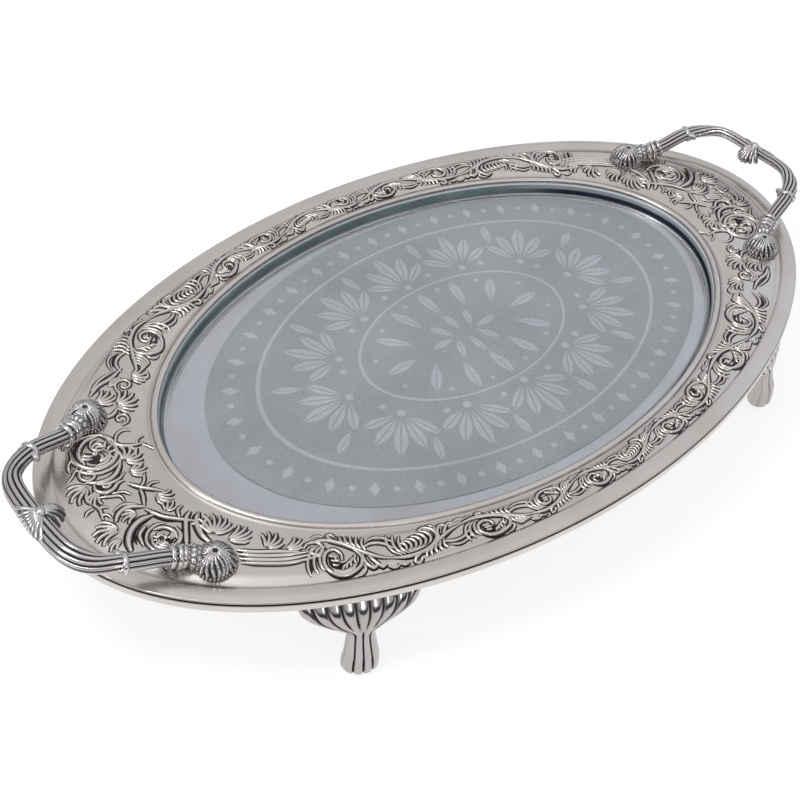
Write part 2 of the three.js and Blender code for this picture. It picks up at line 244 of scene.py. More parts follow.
wall = {
    "streak": (60.0, 3.0),
    "streakFrom": 0.3,
    "streakTo": 0.7,
    "green": (0.36, 0.46, 0.45),
    "greenDark": (0.23, 0.32, 0.32),
    "grey": (0.52, 0.53, 0.55),
    "navy": (0.035, 0.045, 0.075),
    "turnStart": 0.095,
    "turnEnd": 0.13,
    "navyTop": 0.0446,
    "navyBlur": 0.0006,
    "pale": (0.62, 0.62, 0.66),
    "paleDark": (0.54, 0.54, 0.58),
    "bright": (0.86, 0.94, 1.0),
    "brightFrom": 0.0465,
    "brightBlur": 0.0004,
    "roughnessSpread": 0.12,
    "greenRoughness": 0.25,
    "greenMetal": 0.6,
    "paleRoughness": 0.5,
    "paleMetal": 0.25,
}


# Starts a material of the well's wall with streaks of two colours; they are painted reflection and painted
# light in place of the silver's own colour
def startWall(name, first, second):
    material, sheet, place = startMaterial(name)
    streak = sheet.noise(place, wall["streak"])
    colour = sheet.blend(streak.between(wall["streakFrom"], wall["streakTo"]), wall[first], wall[second])
    return material, sheet, place, colour, streak * wall["roughnessSpread"]


# The wall over the glass, painted as a reflection: greenish, and grey with a dark foot towards the right end
def reflectionPaintedWallMaterial():
    material, sheet, place, colour, roughness = startWall("reflectionPaintedWall", "green", "greenDark")
    turned = sheet.part(place, "X").between(wall["turnStart"], wall["turnEnd"])
    low = 1.0 - sheet.part(place, "Z").between(wall["navyTop"], wall["navyTop"] + wall["navyBlur"])
    colour = sheet.blend(turned, colour, wall["grey"])
    return endMaterial(material, sheet, {
        "Base Color": sheet.blend(turned * low, colour, wall["navy"]),
        "Metallic": wall["greenMetal"],
        "Roughness": roughness + wall["greenRoughness"],
    })


# The wall behind the glass, painted pale and satin as painted light, and a painted highlight on the narrow
# bright slope under the bead
def lightPaintedWallMaterial():
    material, sheet, place, colour, roughness = startWall("lightPaintedWall", "pale", "paleDark")
    bright = sheet.part(place, "Z").between(wall["brightFrom"], wall["brightFrom"] + wall["brightBlur"])
    return endMaterial(material, sheet, {
        "Base Color": sheet.blend(bright, colour, wall["bright"]),
        "Metallic": wall["paleMetal"],
        "Roughness": roughness + wall["paleRoughness"],
    })


reflectionPaintedWall = reflectionPaintedWallMaterial()
lightPaintedWall = lightPaintedWallMaterial()
print("silver materials made")


def fullTurn(steps):
    return np.linspace(0, 2 * math.pi, steps, endpoint=False)


def eased(share):
    return share * share * (3 - 2 * share)


# The length along a line up to each of its points
def wayAlong(points):
    return np.concatenate([[0], np.cumsum(np.linalg.norm(np.diff(points, axis=0), axis=1))])


def hoop(turn, first, second):
    return np.cos(turn)[:, None] * first + np.sin(turn)[:, None] * second


def plainMesh(name, points, faces, attributes=None, sharpAngle=None):
    mesh = bpy.data.meshes.new(name)
    flat = np.asarray(points, dtype=np.float64) * mm
    mesh.from_pydata(flat.tolist(), [], faces)
    mesh.validate()
    for key, values in (attributes or {}).items():
        layer = mesh.attributes.new(key, "FLOAT", "POINT")
        layer.data.foreach_set("value", np.asarray(values, dtype=np.float32))
    mesh.shade_smooth()
    if sharpAngle:
        mesh.set_sharp_from_angle(angle=math.radians(sharpAngle))
    return mesh


def showPiece(name, mesh, materials, body, replaced=()):
    for material in materials:
        mesh.materials.append(material)
    piece = linked(name, mesh)
    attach(piece, body)
    if replaced:
        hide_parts(*replaced)


# Joins rings of equal count, and the last one to the first where they are looped
def ringFaces(ringCount, stepCount, looped=False):
    faces = []
    for band in range(ringCount if looped else ringCount - 1):
        low = band * stepCount
        high = ((band + 1) % ringCount) * stepCount
        for step in range(stepCount):
            after = (step + 1) % stepCount
            faces.append((low + step, low + after, high + after, high + step))
    return faces


# A skin through rings of equal count as points, faces and darkness (oxide and painted shade); a fan closes
# each end unless it is looped
def ringPart(rings, tarnish, looped=False):
    rings = [np.asarray(ring, dtype=np.float64) for ring in rings]
    stepCount = len(rings[0])
    faces = ringFaces(len(rings), stepCount, looped)
    dark = [np.broadcast_to(np.asarray(row, dtype=float), (stepCount,)) for row in tarnish]
    if looped:
        return np.concatenate(rings), faces, {"tarnish": np.concatenate(dark)}
    points = np.concatenate([*rings, rings[0].mean(axis=0)[None], rings[-1].mean(axis=0)[None]])
    start = (len(rings) - 1) * stepCount
    low, high = len(points) - 2, len(points) - 1
    for step in range(stepCount):
        after = (step + 1) % stepCount
        faces.append((low, after, step))
        faces.append((high, start + step, start + after))
    return points, faces, {"tarnish": np.concatenate([*dark, [np.mean(tarnish[0])],
                                                      [np.mean(tarnish[-1])]])}


def ringMesh(name, rings, tarnish=None, looped=False, sharpAngle=None):
    points, faces, values = ringPart(rings, tarnish or [0] * len(rings), looped)
    return plainMesh(name, points, faces, values if tarnish else None, sharpAngle)


trayForm = {
    "rimLength": 216.0,
    "rimWidth": 122.0,
    "lipLength": 156.5,
    "lipWidth": 96.5,
    "power": 1.97,
    "rimHeight": 49.2,
    "sheet": 1.2,
    "edgeRound": 1.0,
    "smoothBand": 8.5,
    "crease": 0.5,
    "swell": 0.8,
    "swellStart": 0.25,
    "swellEnd": 0.82,
    "innerBand": 4.5,
    "bead": 3.0,
    "beadRise": 0.9,
    "wallTop": 0.35,
    "wallSlope": 1.8,
    "wallRows": ((0.08, 0, 0), (0.2, 0, 0), (0.3, 0, 0.25), (0.34, 0.22, 0), (0.38, 0, 0.25), (0.45, 0, 0),
                 (0.7, 0, 0), (1, 0, 0)),
    "rimRows": ((-1.6, -0.02, 0), (-2.2, 0.1, 0), (-4.25, 0.22, 0), (-6.9, 0.08, 0), (-7.8, -0.08, 0.1),
                (-8.3, -0.4, 0.25)),
    "cornerRound": 1.5,
    "glassDrop": 6.0,
    "glassThick": 5.0,
    "gap": 0.3,
    "steps": 900,
    "bandRows": 38,
}
rimTop = trayForm["rimHeight"]
glassTop = rimTop - trayForm["glassDrop"]
wellFloor = glassTop - trayForm["glassThick"] - trayForm["gap"]


def ovalPoints(turn, halfLength, halfWidth):
    power = 2 / trayForm["power"]
    return [half * np.sign(wave) * np.abs(wave) ** power
            for half, wave in ((halfLength, np.cos(turn)), (halfWidth, np.sin(turn)))]


def ovalRow(halfLength, halfWidth, height, steps=None):
    turn = fullTurn(steps or trayForm["steps"])
    return np.stack([*ovalPoints(turn, halfLength, halfWidth), np.full(len(turn), float(height))], axis=1)


def rimRow(outset, height):
    return ovalRow(trayForm["rimLength"] + outset, trayForm["rimWidth"] + outset, height)


def lipRow(outset, height):
    return ovalRow(trayForm["lipLength"] + outset, trayForm["lipWidth"] + outset, height)


def bandHalves(share):
    inner, outer = trayForm["innerBand"], trayForm["smoothBand"]
    halves = []
    for size in ("Length", "Width"):
        low, high = trayForm["lip" + size] + inner, trayForm["rim" + size] - outer
        halves.append(low + share * (high - low))
    return halves


# Height of the scroll band's ground above the rim, across the band from its inner edge to its outer
def bandRise(share):
    low = -trayForm["crease"]
    rise = np.interp(share, [0, trayForm["swellStart"], trayForm["swellEnd"], 1], [0, 1, 1, 0])
    return low + eased(rise) * (trayForm["swell"] - low)


# The sheet's rows from the floor's underside out to the rim's edge and back over its top; the wall's are
# (share of its depth, ridge, darkness), the rim's are (outset from its edge, rise, darkness); the darkness
# is oxide and painted shade
def makeTrayBody():
    form = trayForm
    sheet = form["sheet"]
    rows = []
    dark = []

    def put(row, tarnish=0.0):
        rows.append(row)
        dark.append(tarnish)

    corner = form["cornerRound"]
    floorIn = -form["wallSlope"] - corner
    put(lipRow(-60, wellFloor - sheet))
    put(lipRow(floorIn, wellFloor - sheet))
    for turn in np.linspace(0, math.pi / 2, 6)[1:]:
        rise = corner * (1 - math.cos(turn))
        put(lipRow(floorIn + corner * math.sin(turn) + sheet, wellFloor - sheet + rise))
    put(lipRow(sheet, rimTop - sheet), 0.2)
    put(lipRow(form["bead"] * 0.7, rimTop + form["beadRise"] * 0.6 - sheet))
    put(lipRow(form["bead"], rimTop - sheet), 0.2)
    for share in np.linspace(0, 1, 14):
        put(ovalRow(*bandHalves(share), rimTop + bandRise(share) - sheet), 0.1)
    put(rimRow(-form["smoothBand"] / 2, rimTop - sheet))
    # Painted shadow: the underside of the rim's edge and the lower half of its rounding are darkened, a dark
    # seam line over the rolled band
    put(rimRow(-form["edgeRound"] - 0.8, rimTop - sheet), 0.9)
    put(rimRow(-0.25, rimTop - sheet + 0.08), 1.0)
    for turn in np.linspace(-math.pi / 2, math.pi / 2, 9)[1:]:
        bulge = form["edgeRound"] * 0.55
        put(rimRow(-bulge + bulge * math.cos(turn), rimTop - sheet / 2 + (sheet / 2) * math.sin(turn)),
            1.0 if math.sin(turn) < -0.3 else 0.4 * (1 - math.sin(turn)))
    for outset, rise, tarnish in form["rimRows"]:
        put(rimRow(outset, rimTop + rise), tarnish)
    # The band's edges, the bead's feet and the top of the wall are darkened in their creases: oxide and
    # painted shade
    for share in np.linspace(1, 0, form["bandRows"]):
        put(ovalRow(*bandHalves(share), rimTop + bandRise(share)), 0.3 if share in (0, 1) else 0.0)
    put(lipRow(form["bead"] + 0.9, rimTop - form["crease"] * 0.3), 0.1)
    put(lipRow(form["bead"] + 0.12, rimTop - 0.1), 0.75)
    for turn in np.linspace(0, math.pi, 11):
        half = form["bead"] / 2
        put(lipRow(half + half * math.cos(turn), rimTop + form["beadRise"] * math.sin(turn)))
    wallTop = rimTop - form["wallTop"]
    put(lipRow(-0.12, wallTop), 0.55)
    wallDrop = wallTop - wellFloor - corner
    for share, ridge, tarnish in form["wallRows"]:
        put(lipRow(-form["wallSlope"] * share - ridge, wallTop - wallDrop * share), tarnish)
    for turn in np.linspace(0, math.pi / 2, 5)[1:]:
        inset = form["wallSlope"] + corner * (1 - math.cos(turn))
        put(lipRow(-inset, wellFloor + corner * (1 - math.sin(turn))))
    put(lipRow(-60, wellFloor))
    return rows, dark


bodyRows, bodyDark = makeTrayBody()
print("tray rows", len(bodyRows))


barForm = {
    "bossX": 172.52,
    "bossY": 48.5,
    "bossBase": 50.3,
    "bossRadius": 8.8,
    "bossHeight": 9.0,
    "ringX": 184.52,
    "ringY": 41.0,
    "ringHeight": 56.0,
    "collarX": 205.02,
    "collarY": 35.75,
    "collarHeight": 62.2,
    "archX": 220.5,
    "archY": 21.5,
    "archHeight": 65.2,
    "knotX": 222.0,
    "knotHeight": 64.9,
    "stubHalfWidth": 3.9,
    "stubHalfHeight": 3.4,
    "archHalfWidth": 4.75,
    "archHalfHeight": 2.9,
    "tilt": math.radians(35),
    "reeds": 10,
    "reedDepth": 0.9,
    "groovePower": 1.6,
    "grooveDark": 2.5,
    "grooveFrom": 0.25,
    "sectionSteps": 120,
    "lineSteps": 210,
}


# Centripetal Catmull-Rom line through the handle's points
class HandleLine:
    def __init__(self):
        form = barForm
        shoulderX = form["collarX"] + (form["archX"] - form["collarX"]) * 0.65
        shoulderY = form["collarY"] + (form["archY"] - form["collarY"]) * 0.4
        half = [
            (form["bossX"], form["bossY"], form["bossBase"] + form["bossHeight"] * 0.3),
            (form["ringX"], form["ringY"], form["ringHeight"]),
            (form["collarX"], form["collarY"], form["collarHeight"]),
            (shoulderX, shoulderY, (form["collarHeight"] + form["archHeight"]) / 2),
            (form["archX"], form["archY"], form["archHeight"]),
        ]
        mirrored = [(x, -y, z) for x, y, z in reversed(half)]
        points = np.array([*half, (form["knotX"], 0, form["knotHeight"]), *mirrored])
        ends = (2 * points[0] - points[1], 2 * points[-1] - points[-2])
        self.points = np.vstack([ends[0], points, ends[1]])
        self.spans = len(points) - 1

    def point(self, share):
        place = min(max(share, 0), 1) * self.spans
        span = min(int(place), self.spans - 1)
        t = place - span
        p0, p1, p2, p3 = self.points[span:span + 4]
        d0, d1, d2 = (max(np.linalg.norm(b - a), 1e-4) ** 0.5 for a, b in ((p0, p1), (p1, p2), (p2, p3)))
        m1 = ((p1 - p0) / d0 - (p2 - p0) / (d0 + d1) + (p2 - p1) / d1) * d1
        m2 = ((p2 - p1) / d1 - (p3 - p1) / (d1 + d2) + (p3 - p2) / d2) * d1
        return p1 + m1 * t + (3 * (p2 - p1) - 2 * m1 - m2) * t ** 2 + (2 * (p1 - p2) + m1 + m2) * t ** 3

    def frame(self, share):
        centre = self.point(share)
        step = 1e-3
        along = self.point(share + step) - self.point(share - step)
        along = along / np.linalg.norm(along)
        upright = np.array([0, 0, 1.0]) - along * along[2]
        upright = upright / np.linalg.norm(upright)
        fromEnd = min(share, 1 - share)
        arch = np.clip((fromEnd - 2 / self.spans) / (2 / self.spans), 0, 1)
        arch = eased(arch)
        turn = -barForm["tilt"] * arch
        up = upright * math.cos(turn) + np.cross(along, upright) * math.sin(turn)
        across = np.cross(up, along)
        return centre, along, across, up, arch


handleLine = HandleLine()


# Outline of a reeded oval section, evenly spaced along its edge, with the groove share at each point
def reededSection(halfWidth, halfHeight, reeds, depth, steps):
    turn = np.linspace(0, 2 * math.pi, 721)
    outline = np.stack([halfWidth * np.cos(turn), halfHeight * np.sin(turn)], axis=1)
    lengths = wayAlong(outline)
    even = np.linspace(0, lengths[-1], steps, endpoint=False)
    x = np.interp(even, lengths, outline[:, 0])
    y = np.interp(even, lengths, outline[:, 1])
    outward = np.stack([x / halfWidth ** 2, y / halfHeight ** 2], axis=1)
    outward /= np.linalg.norm(outward, axis=1)[:, None]
    wave = np.abs(np.cos(math.pi * reeds * even / lengths[-1]))
    groove = (1 - wave) ** barForm["groovePower"]
    return np.stack([x, y], axis=1) - outward * (depth * groove)[:, None], groove


def makeHandleBar():
    rings = []
    dark = []
    form = barForm
    for share in np.linspace(0.012, 0.988, form["lineSteps"]):
        centre, _, across, up, arch = handleLine.frame(share)
        halfWidth = form["stubHalfWidth"] + (form["archHalfWidth"] - form["stubHalfWidth"]) * arch
        halfHeight = form["stubHalfHeight"] + (form["archHalfHeight"] - form["stubHalfHeight"]) * arch
        section, groove = reededSection(halfWidth, halfHeight, form["reeds"], form["reedDepth"],
                                        form["sectionSteps"])
        rings.append(centre + section[:, :1] * across + section[:, 1:] * up)
        # The reeds' grooves are darkened: oxide and painted shade
        dark.append(np.clip(groove * form["grooveDark"] - form["grooveFrom"], 0, 1))
    return ringPart(rings, dark)


def mergedMesh(name, parts, sharpAngle=None):
    points = []
    faces = []
    values = {key: [] for key in parts[0][2]}
    count = 0
    for partPoints, partFaces, partValues in parts:
        points.append(np.asarray(partPoints, dtype=np.float64))
        faces.extend(tuple(corner + count for corner in face) for face in partFaces)
        for key, row in partValues.items():
            values[key].append(np.broadcast_to(np.asarray(row, dtype=float), (len(partPoints),)))
        count += len(partPoints)
    joined = {key: np.concatenate(rows) for key, rows in values.items()}
    return plainMesh(name, np.concatenate(points), faces, joined, sharpAngle)


def turnedPart(part):
    points, faces, values = part
    return np.asarray(points) * np.array([-1.0, -1.0, 1.0]), faces, values


# Round rings about an upright line: profile rows are (radius, height, darkness as oxide and painted shade)
def lathePart(profile, x, y, steps):
    turn = fullTurn(steps)
    rings = [np.stack([x + radius * np.cos(turn), y + radius * np.sin(turn), np.full(steps, float(height))],
                      axis=1)
             for radius, height, _ in profile]
    return ringPart(rings, [row[2] for row in profile])


# The middle of a node's box in x and y, and its foot in z
def nodeFoot(node):
    low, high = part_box(node)
    return (low[0] + high[0]) / 2 / mm, (low[1] + high[1]) / 2 / mm, low[2] / mm


corners = ("back_right", "back_left", "front_left", "front_right")
stud = {"radius": 2.0, "tip": 0.4, "beyondNut": 1.0, "weld": 0.9, "steps": 24}
zone = {"floorRise": 0.4, "underGlass": 0.2, "brightDepth": 1.9, "wallDepth": 0.9}

traySheet = ringMesh("traySheet", bodyRows, bodyDark)
# The well's floor takes the brightened silver; the wall under the glass and the slope under the bead take
# the painted light, the rest of the wall the painted reflection
for face in traySheet.polygons:
    inWell = (abs(face.center.x) / (trayForm["lipLength"] * mm)) ** trayForm["power"]
    inWell += (abs(face.center.y) / (trayForm["lipWidth"] * mm)) ** trayForm["power"]
    height = face.center.z / mm
    if inWell < 1 and height < rimTop - zone["wallDepth"]:
        seenPale = height < glassTop - zone["underGlass"] or height > rimTop - zone["brightDepth"]
        face.material_index = 1 if height < wellFloor + zone["floorRise"] else 2 if seenPale else 3
sheetMaterials = [sheetSilver, wellSilver, lightPaintedWall, reflectionPaintedWall]
showPiece("traySheet", traySheet, sheetMaterials, "tray", ["tray_body"])

weldStuds = []
sheetUnder = rimTop - trayForm["sheet"]
for corner in corners:
    x, y, low = nodeFoot(f"foot_nut_{corner}")
    foot = low - stud["beyondNut"]
    weldStuds.append(lathePart([
        (stud["radius"] - stud["tip"], foot, 0.3),
        (stud["radius"], foot + stud["tip"], 0.1),
        (stud["radius"], sheetUnder - 0.6, 0.1),
        (stud["radius"] + stud["weld"], sheetUnder - 0.05, 0.2),
        (stud["radius"] + stud["weld"], sheetUnder + 0.3, 0.2),
    ], x, y, stud["steps"]))
showPiece("weldStuds", mergedMesh("weldStuds", weldStuds, 40), [sheetSilver], "tray")
print("tray sheet and weld studs made")


scroll = {
    "seed": 11,
    "halfUnit": 29.0,
    "halfBand": 6.0,
    "spacing": 0.95,
    "stem": 0.8,
    "finger": 0.63,
    "fine": 0.5,
    "endWeight": 1.26,
    "skirt": 0.88,
    "sink": 0.55,
    "rise": 1.25,
    "reach": 0.86,
    "widest": 7.2,
    "darkBelow": 0.16,
    "patchDarkBelow": 0.5,
    "grownMost": 1.5,
    "grownPower": 0.75,
}
bandTable = {"steps": 1440, "low": -0.35, "high": 1.35, "halvings": 26}


# Share across the scroll band and height of its ground at points in millimetres
def groundShare(x, y):
    low = np.full(np.shape(x), bandTable["low"])
    high = np.full(np.shape(x), bandTable["high"])
    power = trayForm["power"]
    for _ in range(bandTable["halvings"]):
        middle = (low + high) / 2
        length, width = bandHalves(middle)
        outside = (np.abs(x) / length) ** power + (np.abs(y) / width) ** power > 1
        low = np.where(outside, middle, low)
        high = np.where(outside, high, middle)
    return (low + high) / 2


def groundHeight(x, y):
    return rimTop + bandRise(np.clip(groundShare(x, y), 0, 1))


# The line along the middle of the scroll band, with its outward direction and the band's half width
def bandLine():
    turn = np.linspace(0, 2 * math.pi, bandTable["steps"] + 1)
    halves = [bandHalves(share) for share in (0, 0.5, 1)]
    inner, middle, outer = (np.stack(ovalPoints(turn, *half), axis=1) for half in halves)
    length, width = halves[1]
    outward = np.stack([middle[:, 0] / length ** 2, middle[:, 1] / width ** 2], axis=1)
    outward /= np.linalg.norm(outward, axis=1)[:, None]
    half = np.sum((outer - inner) * outward, axis=1) / 2
    return wayAlong(middle), middle, outward, half


bandWay, bandMiddle, bandOutward, bandHalf = bandLine()


def bandPoint(way, offset):
    way = np.asarray(way) % bandWay[-1]
    middle = np.stack([np.interp(way, bandWay, bandMiddle[:, axis]) for axis in range(2)], axis=1)
    outward = np.stack([np.interp(way, bandWay, bandOutward[:, axis]) for axis in range(2)], axis=1)
    outward /= np.linalg.norm(outward, axis=1)[:, None]
    half = np.interp(way, bandWay, bandHalf) * scroll["reach"]
    return middle + outward * (half * np.asarray(offset))[:, None]


# Smooth line through control points
def smoothLine(controls, pieces=7):
    points = np.asarray(controls, dtype=float)
    padded = np.vstack([2 * points[0] - points[1], points, 2 * points[-1] - points[-2]])
    share = np.linspace(0, 1, pieces, endpoint=False)[:, None]
    line = []
    for p0, p1, p2, p3 in zip(padded, padded[1:], padded[2:], padded[3:]):
        line.append(0.5 * (2 * p1 + (p2 - p0) * share + (2 * p0 - 5 * p1 + 4 * p2 - p3) * share ** 2
                           + (3 * p1 - p0 - 3 * p2 + p3) * share ** 3))
    return np.vstack([*line, points[-1:]])


# Gathers strokes in one drawing plane; each is a line of points with a radius at each point
class Drawing:
    def __init__(self):
        self.strokes = []
        self.shades = []

    def line(self, controls, thick, root=0.5, tip=0.3, smooth=True):
        line = smoothLine(controls) if smooth else np.asarray(controls, dtype=float)
        share = np.linspace(0, 1, len(line))
        swell = np.interp(share, [0, 0.18, 0.7, 1], [root, 1, 1, tip])
        self.strokes.append((line, thick * swell))

    # A flat dark patch under the strips: oxide and painted shade on the ground between them
    def shade(self, controls, thick):
        line = smoothLine(controls)
        self.shades.append((line, thick * np.interp(np.linspace(0, 1, len(line)), [0, 0.3, 0.7, 1],
                                                    [0.35, 1, 1, 0.3])))

    def spiral(self, centre, reach, start, turns, way, thick, heart=0.16):
        share = np.linspace(0, 1, max(int(turns * 22), 8))
        angle = start + way * 2 * math.pi * turns * share
        radius = reach * ((1 - share) ** 0.85 * (1 - heart) + heart)
        line = np.stack([centre[0] + radius * np.cos(angle), centre[1] + radius * np.sin(angle)], axis=1)
        self.line(line, thick, 0.8, 0.8, smooth=False)

    def arc(self, centre, reach, start, sweep, thick, root=0.35, tip=0.35):
        angle = start + sweep * np.linspace(0, 1, max(int(abs(sweep) * 3.6), 5))
        line = np.stack([centre[0] + reach * np.cos(angle), centre[1] + reach * np.sin(angle)], axis=1)
        self.line(line, thick, root, tip, smooth=False)

    # Curved fingers that spread from a root and all bend the same way
    def frond(self, root, heading, spread, count, length, curl, thick, gap=0.14):
        root = np.asarray(root, dtype=float)
        for finger in range(count):
            side = 2 * finger / max(count - 1, 1) - 1
            angle = heading + side * spread / 2
            reach = length * (1 - 0.22 * abs(side - 0.2))
            along = np.array([math.cos(angle), math.sin(angle)])
            across = np.array([-along[1], along[0]]) * curl * 1.5
            start = root + along * length * gap
            self.line([start, start + along * reach * 0.38 - across * reach * 0.12,
                       start + along * reach * 0.7 + across * reach * 0.06,
                       start + along * reach * 0.9 + across * reach * 0.5], thick, 0.45, 0.9)
        middle = np.array([math.cos(heading), math.sin(heading)]) * length
        self.shade([root + middle * 0.1, root + middle * 0.35, root + middle * 0.6], length * spread * 0.12)

    # Parallel fingers side by side, each turned and grown a little from the one before
    def comb(self, root, step, path, count, thick, turn=0.0, grow=0.0, tip=0.85):
        root, step = np.asarray(root, dtype=float), np.asarray(step, dtype=float)
        for finger in range(count):
            bend = turn * finger
            spin = np.array([[math.cos(bend), -math.sin(bend)], [math.sin(bend), math.cos(bend)]])
            reach = 1 + grow * finger
            self.line([root + step * finger + spin @ (np.asarray(offset) * reach) for offset in path],
                      thick, 0.5, tip)

    # An open rose: an outer strip, a second one winding inwards, lens petals, a comb and a bud
    def rose(self, centre, reach, turn, way, thick):
        def at(angle, share):
            bend = turn + way * angle
            return centre[0] + reach * share * math.cos(bend), centre[1] + reach * share * math.sin(bend)
        self.line([at(0.2, 1.1), at(1.0, 1.0), at(1.9, 0.96), at(2.8, 0.96), at(3.7, 0.98), at(4.5, 0.94)],
                  thick * 1.3)
        self.line([at(5.0, 1.08), at(5.6, 0.9), at(6.3, 0.76), at(7.0, 0.72), at(7.7, 0.78)], thick * 1.15,
                  0.5, 0.5)
        self.line([at(2.0, 0.78), at(2.7, 0.76), at(3.4, 0.66), at(4.0, 0.46)], thick, 0.5, 0.5)
        for start, inner in ((0.3, 0.16), (2.4, 0.2), (4.3, 0.14)):
            self.line([at(start, 0.56), at(start + 0.5, 0.42), at(start + 1.2, inner)], thick * 0.9, 0.4,
                      0.3)
            self.line([at(start, 0.56), at(start + 0.7, 0.6), at(start + 1.4, 0.34)], thick * 0.9, 0.4, 0.3)
        for place in (3.0, 3.42, 3.84, 4.26):
            self.line([at(place, 0.58), at(place + 0.2, 0.7), at(place + 0.22, 0.84)], thick * 0.78, 0.5,
                      0.7)
        self.arc(centre, reach * 0.09, turn, 5.0, thick * 0.9, 1, 1)
        self.shade([at(0.4, 0.5), at(2.2, 0.36), at(4.0, 0.5)], reach * 0.3)
        self.shade([at(2.6, 0.76), at(3.6, 0.76), at(4.6, 0.74)], reach * 0.13)

    def leaf(self, root, tip, belly, thick, rib=True):
        root, tip = np.asarray(root, dtype=float), np.asarray(tip, dtype=float)
        along = tip - root
        across = np.array([-along[1], along[0]]) * belly
        self.line([root, root + along * 0.35 + across, root + along * 0.75 + across * 0.7, tip], thick, 0.4,
                  0.5)
        self.line([root, root + along * 0.35 - across, root + along * 0.75 - across * 0.7, tip], thick, 0.4,
                  0.5)
        if rib:
            self.line([root + along * 0.1, root + along * 0.8], thick * 0.8, 0.4, 0.3)


# One half wave of the vine, 29 mm long in a band of 6 mm each side
def halfWave(pen, kind, chance):
    stem, finger, fine = (scroll[key] for key in ("stem", "finger", "fine"))

    def shift(spread=0.3):
        return chance.uniform(-spread, spread)
    pen.line([(-2.0, -3.1), (4.6, -4.1 + shift()), (11.4, -3.2), (17.6, -0.5), (23.4, 2.1 + shift()),
              (27.4, 3.2)], stem, 0.35, 0.4)
    sag = shift()
    if kind % 3 == 2:
        pen.line([(13.8, -2.2), (17.2, 0.6), (16.8, 3.8), (13.8, 5.6 + sag), (11.6, 4.4)], finger * 1.12,
                 0.5, 0.8)
        pen.comb((13.6, -1.0), (-1.75, -0.12), [(0, 0), (1.4, 1.9), (0.7, 4.0), (-1.5, 5.3)], 6,
                 fine * 1.15, 0.1, -0.07, 0.5)
        pen.shade([(4.6, 0.6), (8.8, 2.0), (13.6, 1.8)], 1.8)
    else:
        outer = [(14.6, -1.9), (17.4, 1.0), (16.2, 4.1), (11.8, 5.6 + sag), (7.2, 5.0), (4.4, 2.4),
                 (4.9, -0.6)]
        pen.line(outer + [(8.0, -1.7), (10.4, -0.3), (10.5, 1.6)], finger * 1.12, 0.5, 0.7)
        pen.shade([(6.2, 0.2), (7.6, 2.6), (11.4, 3.2), (14.2, 1.4)], 1.5)
    if kind % 3 == 0:
        pen.comb((15.6, 0.2), (-1.1, 0.95), [(0, 0), (-0.9, 1.3), (-0.4, 2.9)], 4, fine * 1.05, 0.3, -0.05,
                 0.6)
        pen.comb((6.4, 0.0), (0.35, 1.15), [(0, 0), (1.2, 0.3), (2.4, -0.3)], 3, fine * 0.95, 0.15, -0.05,
                 0.5)
        pen.arc((9.0, 1.0), 0.8, 0.4, 5.0, fine)
    elif kind % 3 == 1:
        pen.line([(15.8, 0.6), (13.4, 2.2), (10.6, 4.4)], fine * 1.1, 0.4, 0.5)
        pen.line([(14.8, 2.8), (12.6, 3.2), (11.2, 4.6)], fine, 0.4, 0.5)
        pen.line([(8.0, 3.8), (6.8, 1.8), (8.2, 0.2), (9.6, 1.0)], fine * 1.1, 0.6, 0.8)
        pen.comb((11.2, 0.6), (1.1, -0.15), [(0, 0), (0.2, 1.2), (-0.7, 2.4)], 4, fine * 0.95, -0.12)
    sweep = [(0, 0), (-2.5, 1.5), (-3.9, 4.0), (-3.8, 6.4), (-2.9 + shift(), 8.0)]
    pen.comb((2.6, -2.9), (1.3, 0.05), sweep, 3, fine * 1.1, -0.1, -0.1, 0.45)
    pen.shade([(1.4, -1.0), (-0.2, 1.8), (-0.2, 4.2)], 0.9)
    pen.line([(10.2, -3.6), (7.6, -4.6), (6.3, -5.9), (8.0, -6.4), (9.2, -5.3)], finger, 0.4, 0.9)
    pen.comb((13.2, -2.8), (1.55, 0.55), [(0, 0), (-1.9, -1.1), (-2.3, -3.0 + shift())], 5, fine * 1.12,
             0.17, 0.03)
    pen.shade([(11.6, -4.0), (15.0, -3.4), (18.6, -2.2)], 1.0)
    pen.line([(18.4, -1.6), (22.4, -2.6), (26.4, -1.9 + shift()), (29.6, 0.1)], finger, 0.35, 0.4)
    pen.line([(20.2, -3.4), (23.8, -4.4), (27.2, -3.7), (30.4, -1.7)], fine, 0.35, 0.5)
    pen.shade([(19.6, -2.4), (23.6, -3.4), (28.0, -2.4)], 0.6)
    if kind % 2 == 0:
        pen.line([(18.0, 0.3), (18.3, 2.8), (20.2, 5.0), (22.0, 4.6), (21.6, 3.4)], finger, 0.5, 0.8)
        pen.line([(20.0, 1.2), (21.4, 3.0), (23.6, 5.2), (25.4, 4.7)], finger, 0.5, 0.8)
    else:
        pen.comb((18.6, 0.4), (1.35, 0.5), [(0, 0), (0.2, 2.2), (2.0, 4.3), (3.4, 4.6)], 4, fine * 1.12,
                 -0.1, -0.1)
        pen.shade([(19.6, 1.8), (22.2, 3.0), (24.6, 3.8)], 0.9)
    pen.line([(17.6, 3.4), (18.0, 5.0), (16.6, 6.0), (14.6, 6.2)], fine, 0.5, 0.7)
    pen.line([(25.4, 5.2), (28.0, 6.1), (30.4, 5.4)], fine, 0.5, 0.7)
    pen.line([(0.2, -5.0), (2.6, -5.9), (4.6, -5.6)], fine, 0.5, 0.7)


